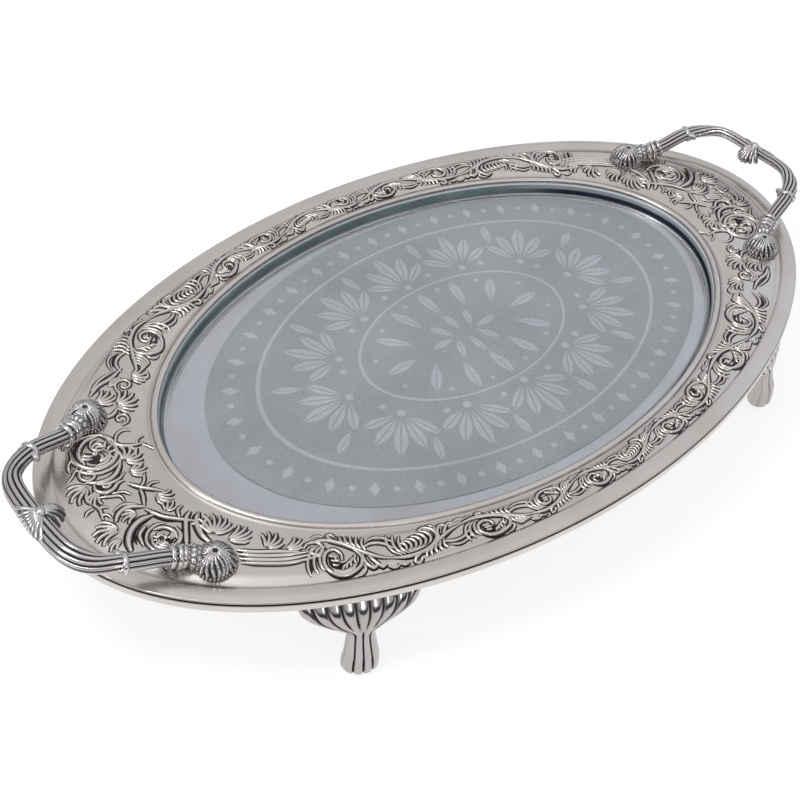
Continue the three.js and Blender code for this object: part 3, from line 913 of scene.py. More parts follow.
def wavePieces(firstTurn, lastTurn, flip, chance):
    turns = np.linspace(0, 2 * math.pi, bandTable["steps"] + 1)
    start, end = (float(np.interp(turn % (2 * math.pi), turns, bandWay)) for turn in (firstTurn, lastTurn))
    if end < start:
        end += bandWay[-1]
    places = [start]
    while places[-1] < end - 2:
        half = min(np.interp(places[-1] % bandWay[-1], bandWay, bandHalf) * scroll["reach"],
                   scroll["widest"])
        places.append(places[-1] + scroll["halfUnit"] * half / scroll["halfBand"])
    stretch = (end - start) / (places[-1] - start)
    places = [start + (place - start) * stretch for place in places]
    strokes = []
    shades = []
    for index, (low, high) in enumerate(zip(places, places[1:])):
        pen = Drawing()
        halfWave(pen, index + chance.choice((0, 0, 1)), chance)
        side = flip * (1 if index % 2 == 0 else -1)
        scale = (high - low) / scroll["halfUnit"]
        for drawn, placed in ((pen.strokes, strokes), (pen.shades, shades)):
            for line, radius in drawn:
                spot = bandPoint(low + line[:, 0] * scale, side * line[:, 1] / scroll["halfBand"])
                grown = min(scale, scroll["grownMost"]) ** scroll["grownPower"]
                placed.append((spot, radius * grown))
    return strokes, shades


# The drawing for the tray's left end, in millimetres; the right end is the same one turned half round
def endDrawing():
    pen = Drawing()
    pen.rose((-180, 29.5), 9.4, 2.2, 1, 0.66)
    pen.arc((-180.4, 29.3), 11.3, 3.2, 2.5, 0.6)
    pen.arc((-180.6, 28.9), 11.4, 0.1, 2.2, 0.55)
    pen.arc((-176.4, 33.0), 3.4, 1.0, 4.4, 0.5)
    pen.spiral((-188.4, 20.6), 4.4, 1.2, 1.3, 1, 0.55)
    pen.line([(-191.6, 17.6), (-187.5, 14.5), (-181.5, 13.6), (-176.6, 16.2), (-173.2, 20.2)], 0.75, 0.4,
             0.5)
    pen.line([(-189.6, 15.4), (-185.2, 12.2), (-180.0, 11.4), (-175.0, 13.4)], 0.5, 0.4, 0.5)
    pen.frond((-191.5, 15.2), 3.3, 1.5, 5, 10.5, 0.22, 0.56)
    pen.frond((-189.4, 10.8), 3.75, 0.9, 4, 8.6, 0.22, 0.5)
    pen.line([(-189.4, 14.6), (-190.4, 11.4), (-188.4, 8.4), (-184.6, 7.8), (-181.2, 9.6), (-177.8, 9.6)],
             0.7, 0.5, 0.5)
    pen.line([(-186.4, 13.2), (-186.8, 11.2), (-184.8, 10.2), (-183.0, 11.6)], 0.5, 0.4, 0.7)
    pen.line([(-191.6, 7.6), (-187.2, 5.2), (-183.8, 3.0), (-184.2, -0.8)], 0.5, 0.4, 0.5)
    pen.line([(-186.0, 6.2), (-181.8, 4.4), (-179.8, 1.0)], 0.45, 0.4, 0.5)
    pen.frond((-172.6, 18.6), 0.25, 2.3, 7, 9.0, 0.24, 0.56)
    pen.frond((-174.2, 12.4), -0.35, 1.5, 5, 7.6, 0.26, 0.5)
    pen.line([(-173.4, 38.0), (-170.6, 32.6), (-169.4, 27.6), (-164.8, 24.4), (-158.8, 23.6)], 0.7, 0.5,
             0.5)
    pen.line([(-169.6, 29.8), (-167.4, 33.2), (-163.4, 34.2), (-160.4, 32.4)], 0.5, 0.4, 0.7)
    pen.line([(-166.2, 25.2), (-165.4, 21.4), (-166.8, 18.4)], 0.5, 0.4, 0.7)
    pen.line([(-163.0, 24.2), (-160.6, 27.0), (-157.4, 27.4)], 0.5, 0.4, 0.7)
    pen.line([(-160.8, 23.6), (-159.0, 20.6), (-158.2, 18.4)], 0.45, 0.4, 0.7)
    pen.line([(-177.8, 7.4), (-174.9, 2.4), (-171.6, -1.2), (-168.0, -4.8)], 0.65, 0.5, 0.5)
    pen.line([(-174.6, 2.6), (-172.0, 4.2), (-169.4, 7.8)], 0.5, 0.4, 0.6)
    pen.line([(-173.2, 0.6), (-169.8, 1.8), (-166.4, 0.8)], 0.5, 0.4, 0.6)
    pen.line([(-175.4, 1.6), (-176.6, -2.4), (-179.0, -7.2)], 0.6, 0.4, 0.5)
    pen.frond((-172.0, -4.6), -1.0, 1.5, 5, 7.6, 0.26, 0.48)
    pen.rose((-181.0, -26.0), 6.0, 0.6, -1, 0.55)
    pen.arc((-181.2, -25.8), 7.5, 0.9, 3.4, 0.55)
    pen.line([(-179.0, -7.4), (-184.6, -3.8), (-189.6, -4.6), (-192.8, -7.6)], 0.75, 0.5, 0.6)
    pen.line([(-181.0, -4.2), (-185.6, -1.4), (-190.8, -2.4)], 0.45, 0.4, 0.5)
    pen.line([(-179.6, -8.4), (-176.4, -15.8), (-171.6, -21.2), (-166.6, -26.0)], 0.7, 0.5, 0.4)
    pen.line([(-178.6, -13.2), (-184.6, -12.8), (-190.2, -15.0), (-194.2, -19.4), (-195.8, -24.0)], 0.95,
             0.4, 0.6)
    pen.line([(-183.6, -16.0), (-188.6, -18.8), (-190.4, -24.6)], 0.6, 0.4, 0.5)
    pen.frond((-183.2, -9.0), 2.75, 1.3, 4, 7.0, 0.24, 0.48)
    pen.frond((-193.2, -12.0), 2.62, 1.3, 5, 11.0, 0.2, 0.56)
    pen.frond((-195.2, -16.4), 3.3, 0.8, 3, 7.0, 0.24, 0.5)
    pen.line([(-195.4, 6.0), (-194.4, 1.8), (-196.2, -3.8)], 0.55, 0.5, 0.5)
    pen.line([(-195.0, 2.2), (-193.0, 2.4), (-190.8, 0.6)], 0.48, 0.5, 0.6)
    pen.line([(-196.0, 3.4), (-198.8, 3.4), (-201.2, 1.8)], 0.52, 0.5, 0.6)
    pen.line([(-195.4, -0.8), (-193.2, -2.6), (-193.0, -5.0)], 0.42, 0.5, 0.6)
    pen.frond((-173.8, -14.6), 0.55, 1.5, 4, 6.6, 0.28, 0.46)
    pen.line([(-177.6, -36.0), (-173.2, -28.8), (-169.0, -22.6), (-165.4, -20.2)], 0.75, 0.4, 0.6)
    pen.line([(-162.8, -22.4), (-166.8, -26.6), (-168.8, -33.4), (-168.0, -41.0)], 0.85, 0.5, 0.5)
    pen.line([(-161.0, -26.4), (-164.4, -28.6), (-167.2, -30.8)], 0.5, 0.6, 0.4)
    pen.line([(-170.8, -20.4), (-169.4, -17.0), (-166.0, -15.6)], 0.5, 0.4, 0.6)
    pen.frond((-165.6, -36.2), 0.75, 2.0, 8, 11.6, 0.2, 0.56)
    pen.frond((-162.6, -41.8), -0.25, 1.1, 5, 11.0, 0.2, 0.55)
    pen.line([(-187.4, -31.0), (-183.4, -34.4), (-178.4, -35.6), (-173.6, -34.6)], 0.6, 0.5, 0.5)
    pen.frond((-186.6, -33.6), -2.15, 1.0, 3, 6.4, 0.3, 0.48)
    for shift, reach in ((0.0, 1.0), (2.4, 0.96), (4.9, 0.9), (7.4, 0.78)):
        pen.line([(-164.4 + shift * 0.3, -54.4 + shift * 0.85), (-157.0, -60.6 + shift),
                  (-148.6, -66.2 + shift * 0.95),
                  (-164.4 + 28.0 * reach, -70.6 + shift * 0.9)], 0.66, 0.5, 0.35)
    pen.frond((-152.6, -54.6), 0.35, 1.5, 5, 9.4, 0.22, 0.54)
    pen.frond((-146.4, -59.4), -0.2, 0.9, 4, 8.2, 0.24, 0.5)
    pen.spiral((-137.2, -66.8), 4.6, 2.4, 1.2, -1, 0.56)
    pen.frond((-164.8, 55.0), -0.1, 1.3, 5, 9.6, 0.2, 0.54)
    pen.frond((-157.8, 49.2), -0.35, 2.2, 7, 9.8, 0.24, 0.56)
    pen.line([(-166.6, 45.4), (-162.4, 44.4), (-158.4, 46.6)], 0.65, 0.4, 0.6)
    pen.spiral((-160.4, 40.4), 3.6, 4.2, 1.15, 1, 0.5)
    pen.line([(-164.6, 59.8), (-158.2, 63.2), (-150.4, 64.4), (-143.4, 67.4)], 0.7, 0.4, 0.5)
    pen.line([(-162.2, 62.4), (-155.6, 66.2), (-147.6, 67.6)], 0.5, 0.4, 0.5)
    pen.spiral((-148.4, 57.4), 4.3, 3.6, 1.25, -1, 0.54)
    pen.frond((-143.2, 60.4), -0.5, 1.9, 6, 7.6, 0.26, 0.52)
    pen.leaf((-154.2, 60.6), (-147.4, 62.6), 0.16, 0.45)
    pen.frond((-183.4, 40.6), 2.6, 1.2, 4, 7.0, 0.26, 0.5)
    pen.line([(-188.6, 32.4), (-192.4, 30.0), (-194.2, 25.8)], 0.5, 0.5, 0.6)
    pen.line([(-190.0, 27.0), (-194.6, 23.4), (-197.6, 21.8)], 0.45, 0.5, 0.6)
    pen.shade([(-187.0, -14.8), (-190.4, -17.4), (-192.2, -22.4)], 0.8)
    pen.shade([(-180.0, -11.0), (-176.6, -17.6), (-171.8, -22.6)], 1.0)
    pen.shade([(-188.4, 15.4), (-188.6, 11.6), (-185.6, 9.6)], 1.2)
    return [(line, radius * scroll["endWeight"]) for line, radius in pen.strokes], pen.shades


# Evens a stroke's spacing and lays it on the ground
def laidStroke(line, radius, flip):
    lengths = wayAlong(line)
    count = max(int(round(lengths[-1] / scroll["spacing"])), 3)
    even = np.linspace(0, lengths[-1], count + 1)
    x = np.interp(even, lengths, line[:, 0]) * flip
    y = np.interp(even, lengths, line[:, 1]) * flip
    return np.stack([x, y, groundHeight(x, y)], axis=1), np.interp(even, lengths, radius)


def curveObject(name, lines, closed=False):
    curve = bpy.data.curves.new(name, "CURVE")
    curve.dimensions = "3D"
    for points, radii in lines:
        spline = curve.splines.new("POLY")
        spline.points.add(len(points) - 1)
        spline.points.foreach_set("co", np.hstack([points, np.ones((len(points), 1))]).ravel())
        spline.points.foreach_set("radius", np.asarray(radii, dtype=float))
        spline.use_cyclic_u = closed
    return linked(name, curve)


def startTree(name, inputs):
    tree = bpy.data.node_groups.new(name, "GeometryNodeTree")
    tree.interface.new_socket("Geometry", in_out="OUTPUT", socket_type="NodeSocketGeometry")
    sockets = {label: tree.interface.new_socket(label, in_out="INPUT",
                                                socket_type=f"NodeSocket{kind}").identifier
               for label, kind in inputs.items()}
    sheet = NodeSheet(tree)
    group = sheet.add("NodeGroupInput").socket.node
    return tree, sheet, sockets, {label: Wire(sheet, group.outputs[label]) for label in inputs}


def endTree(sheet, shape, material, smoothed=True):
    whole = sheet.add("GeometryNodeRealizeInstances", {}, {"Geometry": shape})
    smooth = sheet.add("GeometryNodeSetShadeSmooth", {}, {"Geometry": whole, "Shade Smooth": smoothed})
    finished = sheet.add("GeometryNodeSetMaterial", {}, {"Geometry": smooth, "Material": material})
    sheet.add("NodeGroupOutput", {}, {"Geometry": finished})


# Runs a tree on an empty host and returns the result as a plain mesh
def bakedMesh(name, tree, sockets, values):
    host = linked(name + "Host", bpy.data.meshes.new(name + "Host"))
    modifier = host.modifiers.new(name, "NODES")
    modifier.node_group = tree
    for label, value in values.items():
        modifier[sockets[label]] = value
    graph = bpy.context.evaluated_depsgraph_get()
    mesh = bpy.data.meshes.new_from_object(host.evaluated_get(graph))
    mesh.name = name
    host.modifiers.remove(modifier)
    bpy.data.objects.remove(host)
    return mesh


# A relief strip: a bright ridge between two dark flat edges that lie on the ground; the dark of the edges
# and of the ridge's low sides is oxide and painted shade
def makeStripTree():
    tree, sheet, sockets, given = startTree("reliefStrips", {
        "Strokes": "Object", "Section": "Object", "Rise": "Float", "Dark Below": "Float",
        "Material": "Material",
    })
    lines = sheet.add("GeometryNodeObjectInfo", {}, {"Object": given["Strokes"]}, "Geometry")
    section = sheet.add("GeometryNodeObjectInfo", {}, {"Object": given["Section"]}, "Geometry")
    upright = sheet.add("GeometryNodeSetCurveNormal", {"mode": "Z_UP"}, {"Curve": lines})
    place = sheet.add("GeometryNodeInputPosition")
    height = sheet.part(place, "Y") * -1.0
    dark = 1.0 - height.between(given["Dark Below"], given["Dark Below"] * 3.2)
    marked = sheet.add("GeometryNodeStoreNamedAttribute", {"data_type": "FLOAT", "domain": "POINT"},
                       {"Geometry": section, "Name": "tarnish", "Value": dark * 0.97})
    stretch = sheet.add("ShaderNodeCombineXYZ", {}, {"X": 1.0, "Y": given["Rise"], "Z": 1.0})
    shaped = sheet.add("GeometryNodeTransform", {}, {"Geometry": marked, "Scale": stretch})
    width = sheet.add("GeometryNodeInputRadius")
    strip = sheet.add("GeometryNodeCurveToMesh", {}, {
        "Curve": upright, "Profile Curve": shaped, "Scale": width, "Fill Caps": True,
    })
    endTree(sheet, strip, given["Material"])
    return tree, sockets


stripTree, stripSockets = makeStripTree()


# A closed section that a strip or a flat patch is swept with; up is negative y
def sectionCurve(name, points):
    return curveObject(name, [(np.array([(x, y, 0) for x, y in points]), np.ones(len(points)))], True)


edge, sink = 1 + scroll["skirt"], scroll["sink"]
stripSection = sectionCurve("stripSection", [
    (-edge, sink), (-edge, -0.07), (-1.02, -0.12),
    *((-math.cos(turn) * 0.97, -0.12 - 0.8 * math.sin(turn)) for turn in np.radians((22, 55, 90, 125, 158))),
    (1.02, -0.12), (edge, -0.07), (edge, sink),
])
shadeSection = sectionCurve("shadeSection", [(-1, sink), (-1, -0.03), (-0.4, -0.05), (0.4, -0.05),
                                             (1, -0.03), (1, sink)])
chance = random.Random(scroll["seed"])
backStart, frontStart = 0.665, 0.70
endSet = endDrawing()
scrollSets = {
    "scrollBack": (*wavePieces(backStart, math.pi - backStart, 1, chance), 1),
    "scrollFront": (*wavePieces(math.pi + frontStart, -frontStart, 1, chance), 1),
    "scrollEndLeft": (*endSet, 1),
    "scrollEndRight": (*endSet, -1),
}
stripPoints = []
shadePoints = []
shadeLines = []
for name, (strokes, shades, flip) in scrollSets.items():
    laid = [laidStroke(*stroke, flip) for stroke in strokes]
    patches = [laidStroke(*shade, flip) for shade in shades]
    stripPoints += [points for points, _ in laid]
    shadePoints += [points for points, _ in patches]
    shadeLines += [(points * mm, radii * mm) for points, radii in patches]
    lines = curveObject(name + "Lines", [(points * mm, radii * mm) for points, radii in laid])
    mesh = bakedMesh(name, stripTree, stripSockets, {
        "Strokes": lines, "Section": stripSection, "Rise": scroll["rise"],
        "Dark Below": scroll["darkBelow"], "Material": reliefSilver,
    })
    showPiece(name, mesh, [], "tray")
    bpy.data.objects.remove(lines)
    print(name, len(strokes), "strokes", len(mesh.polygons), "faces")
lines = curveObject("shadeLines", shadeLines)
showPiece("oxidePatches", bakedMesh("oxidePatches", stripTree, stripSockets, {
    "Strokes": lines, "Section": shadeSection, "Rise": 1.0,
    "Dark Below": scroll["patchDarkBelow"], "Material": sheetSilver,
}), [], "tray")
for helper in (lines, stripSection, shadeSection):
    bpy.data.objects.remove(helper)
print("scrollwork made")


crowdOxideShade = {"reach": 1.9, "start": 1.3, "span": 4.6, "most": 0.9, "underRim": 0.6, "upright": 0.5}


# Darkens the ground where strips lie close together, as oxide and as painted shade like ambient occlusion
def oxideAndShadeGround(mesh, points):
    tree = kdtree.KDTree(len(points))
    for index, point in enumerate(points):
        tree.insert(point, index)
    tree.balance()
    layer = mesh.attributes["tarnish"]
    reach = crowdOxideShade["reach"] * mm
    for vertex in mesh.vertices:
        if vertex.co.z < (rimTop - crowdOxideShade["underRim"]) * mm or vertex.normal.z < crowdOxideShade["upright"]:
            continue
        near = sum(1 - gap / reach for _, _, gap in tree.find_range(vertex.co, reach))
        share = min(max((near - crowdOxideShade["start"]) / crowdOxideShade["span"], 0), 1)
        layer.data[vertex.index].value = max(layer.data[vertex.index].value, share * crowdOxideShade["most"])


oxideAndShadeGround(traySheet, np.concatenate(stripPoints + shadePoints) * mm)
print("ground dulled")


rimBand = {"outset": 0.4, "thick": 2.2, "height": 4.4, "roundness": 2.6, "sectionSteps": 22, "gap": 0.3}


def makeRimBand():
    form = rimBand
    rows = []
    dark = []
    middle = rimTop - trayForm["sheet"] - form["gap"] - form["height"] / 2
    power = 2 / form["roundness"]
    for turn in np.linspace(-0.75 * math.pi, 1.25 * math.pi, form["sectionSteps"], endpoint=False):
        side, rise = math.cos(turn), math.sin(turn)
        outset = form["outset"] - form["thick"] / 2
        outset += form["thick"] / 2 * math.copysign(abs(side) ** power, side)
        height = middle + form["height"] / 2 * math.copysign(abs(rise) ** power, rise)
        rows.append(rimRow(outset, height))
        # Painted shadow: the band's top, in the gap under the rim's edge, is dark
        dark.append(1.0 if rise > 0.72 else 0.0)
    return ringMesh("rolledBand", rows, dark, looped=True)


showPiece("rolledBand", makeRimBand(), [sheetSilver], "tray", ["rim_band"])


glassForm = {
    "bevel": 0.8,
    "frostLength": 141.4,
    "frostWidth": 88.6,
    "frostX": 8.2,
    "frostY": 1.8,
    "frostTurn": 0.024,
    "film": 0.03,
    "fieldDepth": 0.14,
    "designDepth": 0.07,
    "tint": (0.905, 0.925, 0.955),
    "smear": (0.885, 0.905, 0.94),
    "frost": (0.625, 0.66, 0.665),
    "motif": (0.93, 0.94, 0.95),
    "edge": 0.25,
    "steps": 360,
    "filmSteps": 480,
}
glassLook = {
    "smear": (22.0, 3.0),
    "smearFrom": 0.3,
    "smearTo": 0.75,
    "smearRoughness": 0.02,
    "roughness": 0.008,
    "ripple": (9.0, 0.0),
    "rippleStrength": 0.4,
    "rippleDepth": 0.00004,
    "bending": 1.5,
    "cloud": (26.0, 3.0),
    "fine": (900.0, 2.0),
    "frostFrom": 0.38,
    "frostTo": 0.62,
    "frostDarker": 0.84,
    "frostStrength": 0.5,
    "frostDepth": 0.00002,
    "frostRoughness": 0.5,
    "fineRoughness": 0.15,
}


def makeGlassMaterial():
    look = glassLook
    material, sheet, place = startMaterial("clearGlass")
    smear, ripple = (sheet.noise(place, look[key]) for key in ("smear", "ripple"))
    share = smear.between(look["smearFrom"], look["smearTo"])
    return endMaterial(material, sheet, {
        "Base Color": sheet.blend(share, glassForm["tint"], glassForm["smear"]),
        "Roughness": smear * look["smearRoughness"] + look["roughness"],
        "IOR": look["bending"],
        "Transmission Weight": 1.0,
        "Normal": sheet.add("ShaderNodeBump", {}, {
            "Strength": look["rippleStrength"], "Distance": look["rippleDepth"], "Height": ripple,
        }),
    })


def makeGlass():
    low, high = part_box("glass_plate")
    halfLength, halfWidth = high[0] / mm, high[1] / mm
    bottom, top = low[2] / mm, high[2] / mm
    bevel, edge = glassForm["bevel"], glassForm["edge"]
    sizes = [(halfLength * share, halfWidth * share, bottom) for share in (0.3, 0.7)]
    sizes += [
        (halfLength - edge, halfWidth - edge, bottom),
        (halfLength, halfWidth, bottom + edge),
        (halfLength, halfWidth, top - bevel),
        (halfLength - bevel, halfWidth - bevel, top),
    ]
    sizes += [((halfLength - bevel) * share, (halfWidth - bevel) * share, top) for share in (0.7, 0.3)]
    return ringMesh("glassPlate", [ovalRow(*size, glassForm["steps"]) for size in sizes], sharpAngle=25)


showPiece("glassPlate", makeGlass(), [makeGlassMaterial()], "glass", ["glass_plate"])


def makeFrostMaterial(name, colour):
    look = glassLook
    material, sheet, place = startMaterial(name)
    cloud, fine = (sheet.noise(place, look[key]) for key in ("cloud", "fine"))
    darker = tuple(part * look["frostDarker"] for part in colour)
    share = (cloud * 0.5 + fine * 0.5).between(look["frostFrom"], look["frostTo"])
    return endMaterial(material, sheet, {
        "Base Color": sheet.blend(share, colour, darker),
        "Roughness": fine * look["fineRoughness"] + look["frostRoughness"],
        "Normal": sheet.add("ShaderNodeBump", {}, {
            "Strength": look["frostStrength"], "Distance": look["frostDepth"], "Height": fine,
        }),
    })


frostMaterial = makeFrostMaterial("frost", glassForm["frost"])
motifMaterial = makeFrostMaterial("frostMotif", glassForm["motif"])


def frostPlace(points):
    turn = glassForm["frostTurn"]
    points = np.asarray(points, dtype=np.float64)
    x = points[:, 0] * math.cos(turn) - points[:, 1] * math.sin(turn) + glassForm["frostX"]
    y = points[:, 0] * math.sin(turn) + points[:, 1] * math.cos(turn) + glassForm["frostY"]
    return np.stack([x, y, points[:, 2]], axis=1)


# A flat oval ring under the glass, from one share of the frosted field to another
def filmRing(name, inner, outer, depth):
    length, width = glassForm["frostLength"], glassForm["frostWidth"]
    low = glassTop - trayForm["glassThick"] - depth
    high = low + glassForm["film"]
    rows = [frostPlace(ovalRow(length * share, width * share, height, glassForm["filmSteps"]))
            for height, share in ((low, inner), (low, outer), (high, outer), (high, inner))]
    return ringMesh(name, rows, looped=inner > 0.35, sharpAngle=40)


frostField = filmRing("frostField", 0.3, 1.0, glassForm["fieldDepth"])
showPiece("frostField", frostField, [frostMaterial], "glass")

design = {
    "lines": ((0.8, 0.815), (0.415, 0.426)),
    "rings": (
        ("lozenge", 0.905, 34, 8.5, 0),
        ("dot", 0.905, 34, 1.5, 1),
        ("palmette", 0.615, 12, 29.0, 0),
        ("petal", 0.7, 12, 15.0, 1),
        ("star", 0.49, 12, 5.0, 1),
        ("petal", 0.285, 12, 19.0, 0),
        ("star", 0.36, 12, 3.6, 1),
        ("petal", 0.1, 8, 13.5, 0),
    ),
    "petals": 5,
    "petalTurn": 0.5,
    "petalWidth": 0.13,
    "vein": 0.025,
}


# Half petals with a clear vein between them; each outline lies in a square one wide, rooted at x = -0.5
def petalOutlines(length, heading=0.0, root=(-0.5, 0.0)):
    share = np.linspace(0, 1, 11)
    bulge = np.sin(math.pi * share ** 1.3) * length * design["petalWidth"]
    gap = design["vein"] / 2
    outlines = []
    for side in (1, -1):
        border = np.stack([share * length, side * (bulge + gap)], axis=1)
        vein = np.stack([share[::-1] * length * 0.94 + 0.02, np.full(len(share), side * gap)], axis=1)
        outline = np.vstack([border, vein])[::-side]
        spin = np.array([[math.cos(heading), -math.sin(heading)], [math.sin(heading), math.cos(heading)]])
        outlines.append(outline @ spin.T + np.asarray(root))
    return outlines


def roundOutline(radius, steps, centre=(0.0, 0.0), dent=0.0):
    turn = fullTurn(steps)
    reach = radius * (1 - dent * (np.arange(steps) % 2))
    return np.stack([centre[0] + reach * np.cos(turn), centre[1] + reach * np.sin(turn)], axis=1)


def motifOutlines(kind):
    if kind == "dot":
        return [roundOutline(1.0, 12)]
    if kind == "lozenge":
        return [np.array([(-0.5, 0.0), (0.0, -0.28), (0.5, 0.0), (0.0, 0.28)])]
    if kind == "star":
        return [roundOutline(0.5, 12, dent=0.55)]
    if kind == "petal":
        return petalOutlines(1.0)
    outlines = [roundOutline(0.07, 10, (-0.46, 0.0))]
    for petal in range(design["petals"]):
        side = petal - (design["petals"] - 1) / 2
        heading = side * design["petalTurn"]
        root = (-0.46 + 0.14 * math.cos(heading), 0.14 * math.sin(heading))
        outlines += petalOutlines(0.78 - 0.1 * abs(side), heading, root)
    return outlines


# A thin plate with the motif's outlines, as a mesh for instancing
def motifObject(kind):
    points = []
    faces = []
    for outline in motifOutlines(kind):
        count = len(outline)
        start = len(points)
        for height in (0.0, 1.0):
            points += [(x, y, height) for x, y in outline]
        faces.append(tuple(range(start + count - 1, start - 1, -1)))
        faces.append(tuple(range(start + count, start + 2 * count)))
        for step in range(count):
            after = (step + 1) % count
            faces.append((start + step, start + after, start + count + after, start + count + step))
    mesh = bpy.data.meshes.new(kind)
    mesh.from_pydata(points, [], faces)
    return linked(kind, mesh)


# Copies of one motif at even steps round an oval, each pointing outwards; a shift of 1 is half a step
def makeMotifTree():
    tree, sheet, sockets, given = startTree("motifRing", {
        "Motif": "Object", "Half Length": "Float", "Half Width": "Float", "Count": "Int", "Size": "Float",
        "Shift": "Float", "Height": "Float", "Thickness": "Float", "Material": "Material",
    })
    motif = sheet.add("GeometryNodeObjectInfo", {}, {"Object": given["Motif"]}, "Geometry")
    oval = sheet.add("GeometryNodeCurvePrimitiveCircle", {}, {"Resolution": 240, "Radius": 1.0})
    stretch = sheet.add("ShaderNodeCombineXYZ", {}, {"X": given["Half Length"], "Y": given["Half Width"],
                                                     "Z": 1.0})
    rise = sheet.add("ShaderNodeCombineXYZ", {}, {"Z": given["Height"]})
    oval = sheet.add("GeometryNodeTransform", {}, {"Geometry": oval, "Translation": rise, "Scale": stretch})
    spots = sheet.add("GeometryNodeResampleCurve", {}, {"Curve": oval, "Count": given["Count"] * 2.0})
    odd = sheet.add("GeometryNodeInputIndex").math("MODULO", 2.0)
    chosen = (odd - (1.0 - given["Shift"])).math("ABSOLUTE")
    tangent = sheet.add("GeometryNodeInputTangent")
    heading = (sheet.part(tangent, "X") * -1.0).math("ARCTAN2", sheet.part(tangent, "Y"))
    spin = sheet.add("ShaderNodeCombineXYZ", {}, {"Z": heading})
    size = sheet.add("ShaderNodeCombineXYZ", {}, {"X": given["Size"], "Y": given["Size"],
                                                  "Z": given["Thickness"]})
    copies = sheet.add("GeometryNodeInstanceOnPoints", {}, {
        "Points": spots, "Selection": chosen, "Instance": motif, "Rotation": spin, "Scale": size,
    })
    endTree(sheet, copies, given["Material"], False)
    return tree, sockets


def meshParts(mesh):
    points = [tuple(vertex.co / mm) for vertex in mesh.vertices]
    return points, [tuple(face.vertices) for face in mesh.polygons]


motifTree, motifSockets = makeMotifTree()
designParts = []
for kind, share, count, size, shift in design["rings"]:
    motif = motifObject(kind)
    mesh = bakedMesh(f"{kind}Ring", motifTree, motifSockets, {
        "Motif": motif, "Half Length": glassForm["frostLength"] * share * mm,
        "Half Width": glassForm["frostWidth"] * share * mm,
        "Count": count, "Size": size * mm, "Shift": float(shift),
        "Height": (glassTop - trayForm["glassThick"] - glassForm["designDepth"]) * mm,
        "Thickness": glassForm["film"] * mm, "Material": motifMaterial,
    })
    points, faces = meshParts(mesh)
    designParts.append((frostPlace(points), faces, {}))
    bpy.data.objects.remove(motif)
for number, (inner, outer) in enumerate(design["lines"]):
    designParts.append((*meshParts(filmRing(f"line{number}", inner, outer, glassForm["designDepth"])), {}))
showPiece("frostDesign", mergedMesh("frostDesign", designParts, 30), [motifMaterial], "glass")
print("glass made")


footForm = {
    "reach": 133.5,
    "pawHalfWidth": 8.4,
    "pawHalfDepth": 6.3,
    "pawHeight": 5.0,
    "waistHalfWidth": 6.0,
    "waistHalfDepth": 4.2,
    "waistHeight": 20.5,
    "fanHalfWidth": 26.5,
    "fanLip": 39.5,
    "fanInset": 6.5,
    "lugTop": 47.2,
    "lugThick": 3.0,
    "lugWidth": 12.0,
    "lugReach": 21.0,
    "toes": 4,
    "toeDepth": 1.1,
    "pawTop": 9,
    "pawDepth": 0.5,
    "flutes": 9,
    "fluteDepth": 1.5,
    "fluteFrom": 1.5,
    "fluteBlend": 7,
    "facing": 2.2,
    "hollow": 2.4,
    "lipFrom": 3,
    "lipBlend": 9,
    "lipFade": 0.65,
    "neckRise": 1.2,
    "neckReach": 1.1,
    "neckDark": 0.4,
    "dark": 1.7,
    "darkFrom": 0.35,
    "darkMost": 0.95,
    "steps": 220,
    "rows": 70,
}


def rimFrame(reach):
    length, width, power = trayForm["rimLength"], trayForm["rimWidth"], trayForm["power"]

    def at(turn):
        return np.array([length * math.cos(turn) ** (2 / power), width * math.sin(turn) ** (2 / power)])
    turn = math.acos((reach / length) ** (power / 2))
    step = 0.02
    before, here, after = at(turn - step), at(turn), at(turn + step)
    along = after - before
    outward = np.array([along[1], -along[0]]) / np.linalg.norm(along)
    sag = np.linalg.norm(here - (before + after) / 2)
    return here, outward, (np.linalg.norm(along) / 2) ** 2 / (2 * sag)


# Height, half width, half depth and outset of the foot's sections, from the floor up
def footRows():
    form = footForm
    paw, waist = form["pawHalfWidth"], form["waistHalfWidth"]
    deep, slim = form["pawHalfDepth"], form["waistHalfDepth"]
    low = form["waistHeight"] + 4
    rise = form["fanLip"] - low
    spread = form["fanHalfWidth"] - waist
    rows = [
        (0.0, paw * 0.8, deep * 0.78, 0.2),
        (0.5, paw * 0.9, deep * 0.9, 0.2),
        (1.6, paw * 0.98, deep * 0.99, 0.2),
        (form["pawHeight"], paw, deep, 0.1),
        (8.0, paw * 0.95, deep * 0.93, 0.0),
        (form["pawHeight"] * 2.2, paw * 0.88, deep * 0.84, 0.0),
        ((form["pawHeight"] + form["waistHeight"]) * 0.62, waist * 1.1, slim * 1.1, -1.4),
        (form["waistHeight"], waist, slim, -2.2),
        (form["waistHeight"] + 2.0, waist * 1.08, slim, -2.35),
        (low, waist + spread * 0.18, slim, -2.4),
        (low + rise * 0.2, waist + spread * 0.5, slim, -2.7),
        (low + rise * 0.45, waist + spread * 0.79, slim * 1.05, -3.1),
        (low + rise * 0.62, waist + spread * 0.91, slim, -3.6),
        (low + rise * 0.8, waist + spread * 0.97, slim, -5.2),
        (form["fanLip"], form["fanHalfWidth"], slim * 0.8, -7.4),
        (form["fanLip"] + 3.0, form["fanHalfWidth"], 2.6, -form["fanInset"] - 2.0),
        (form["lugTop"], form["fanHalfWidth"] * 0.97, 2.4, -form["fanInset"] - 2.2),
    ]
    table = np.array(rows)
    heights = np.concatenate([np.linspace(0, 1.6, 5), np.linspace(2.2, form["lugTop"], form["rows"])])
    columns = []
    for column in range(1, 4):
        smooth = np.interp(heights, table[:, 0], table[:, column])
        for _ in range(3):
            smooth[6:-1] = (smooth[5:-2] + 2 * smooth[6:-1] + smooth[7:]) / 4
        columns.append(smooth)
    return heights, columns


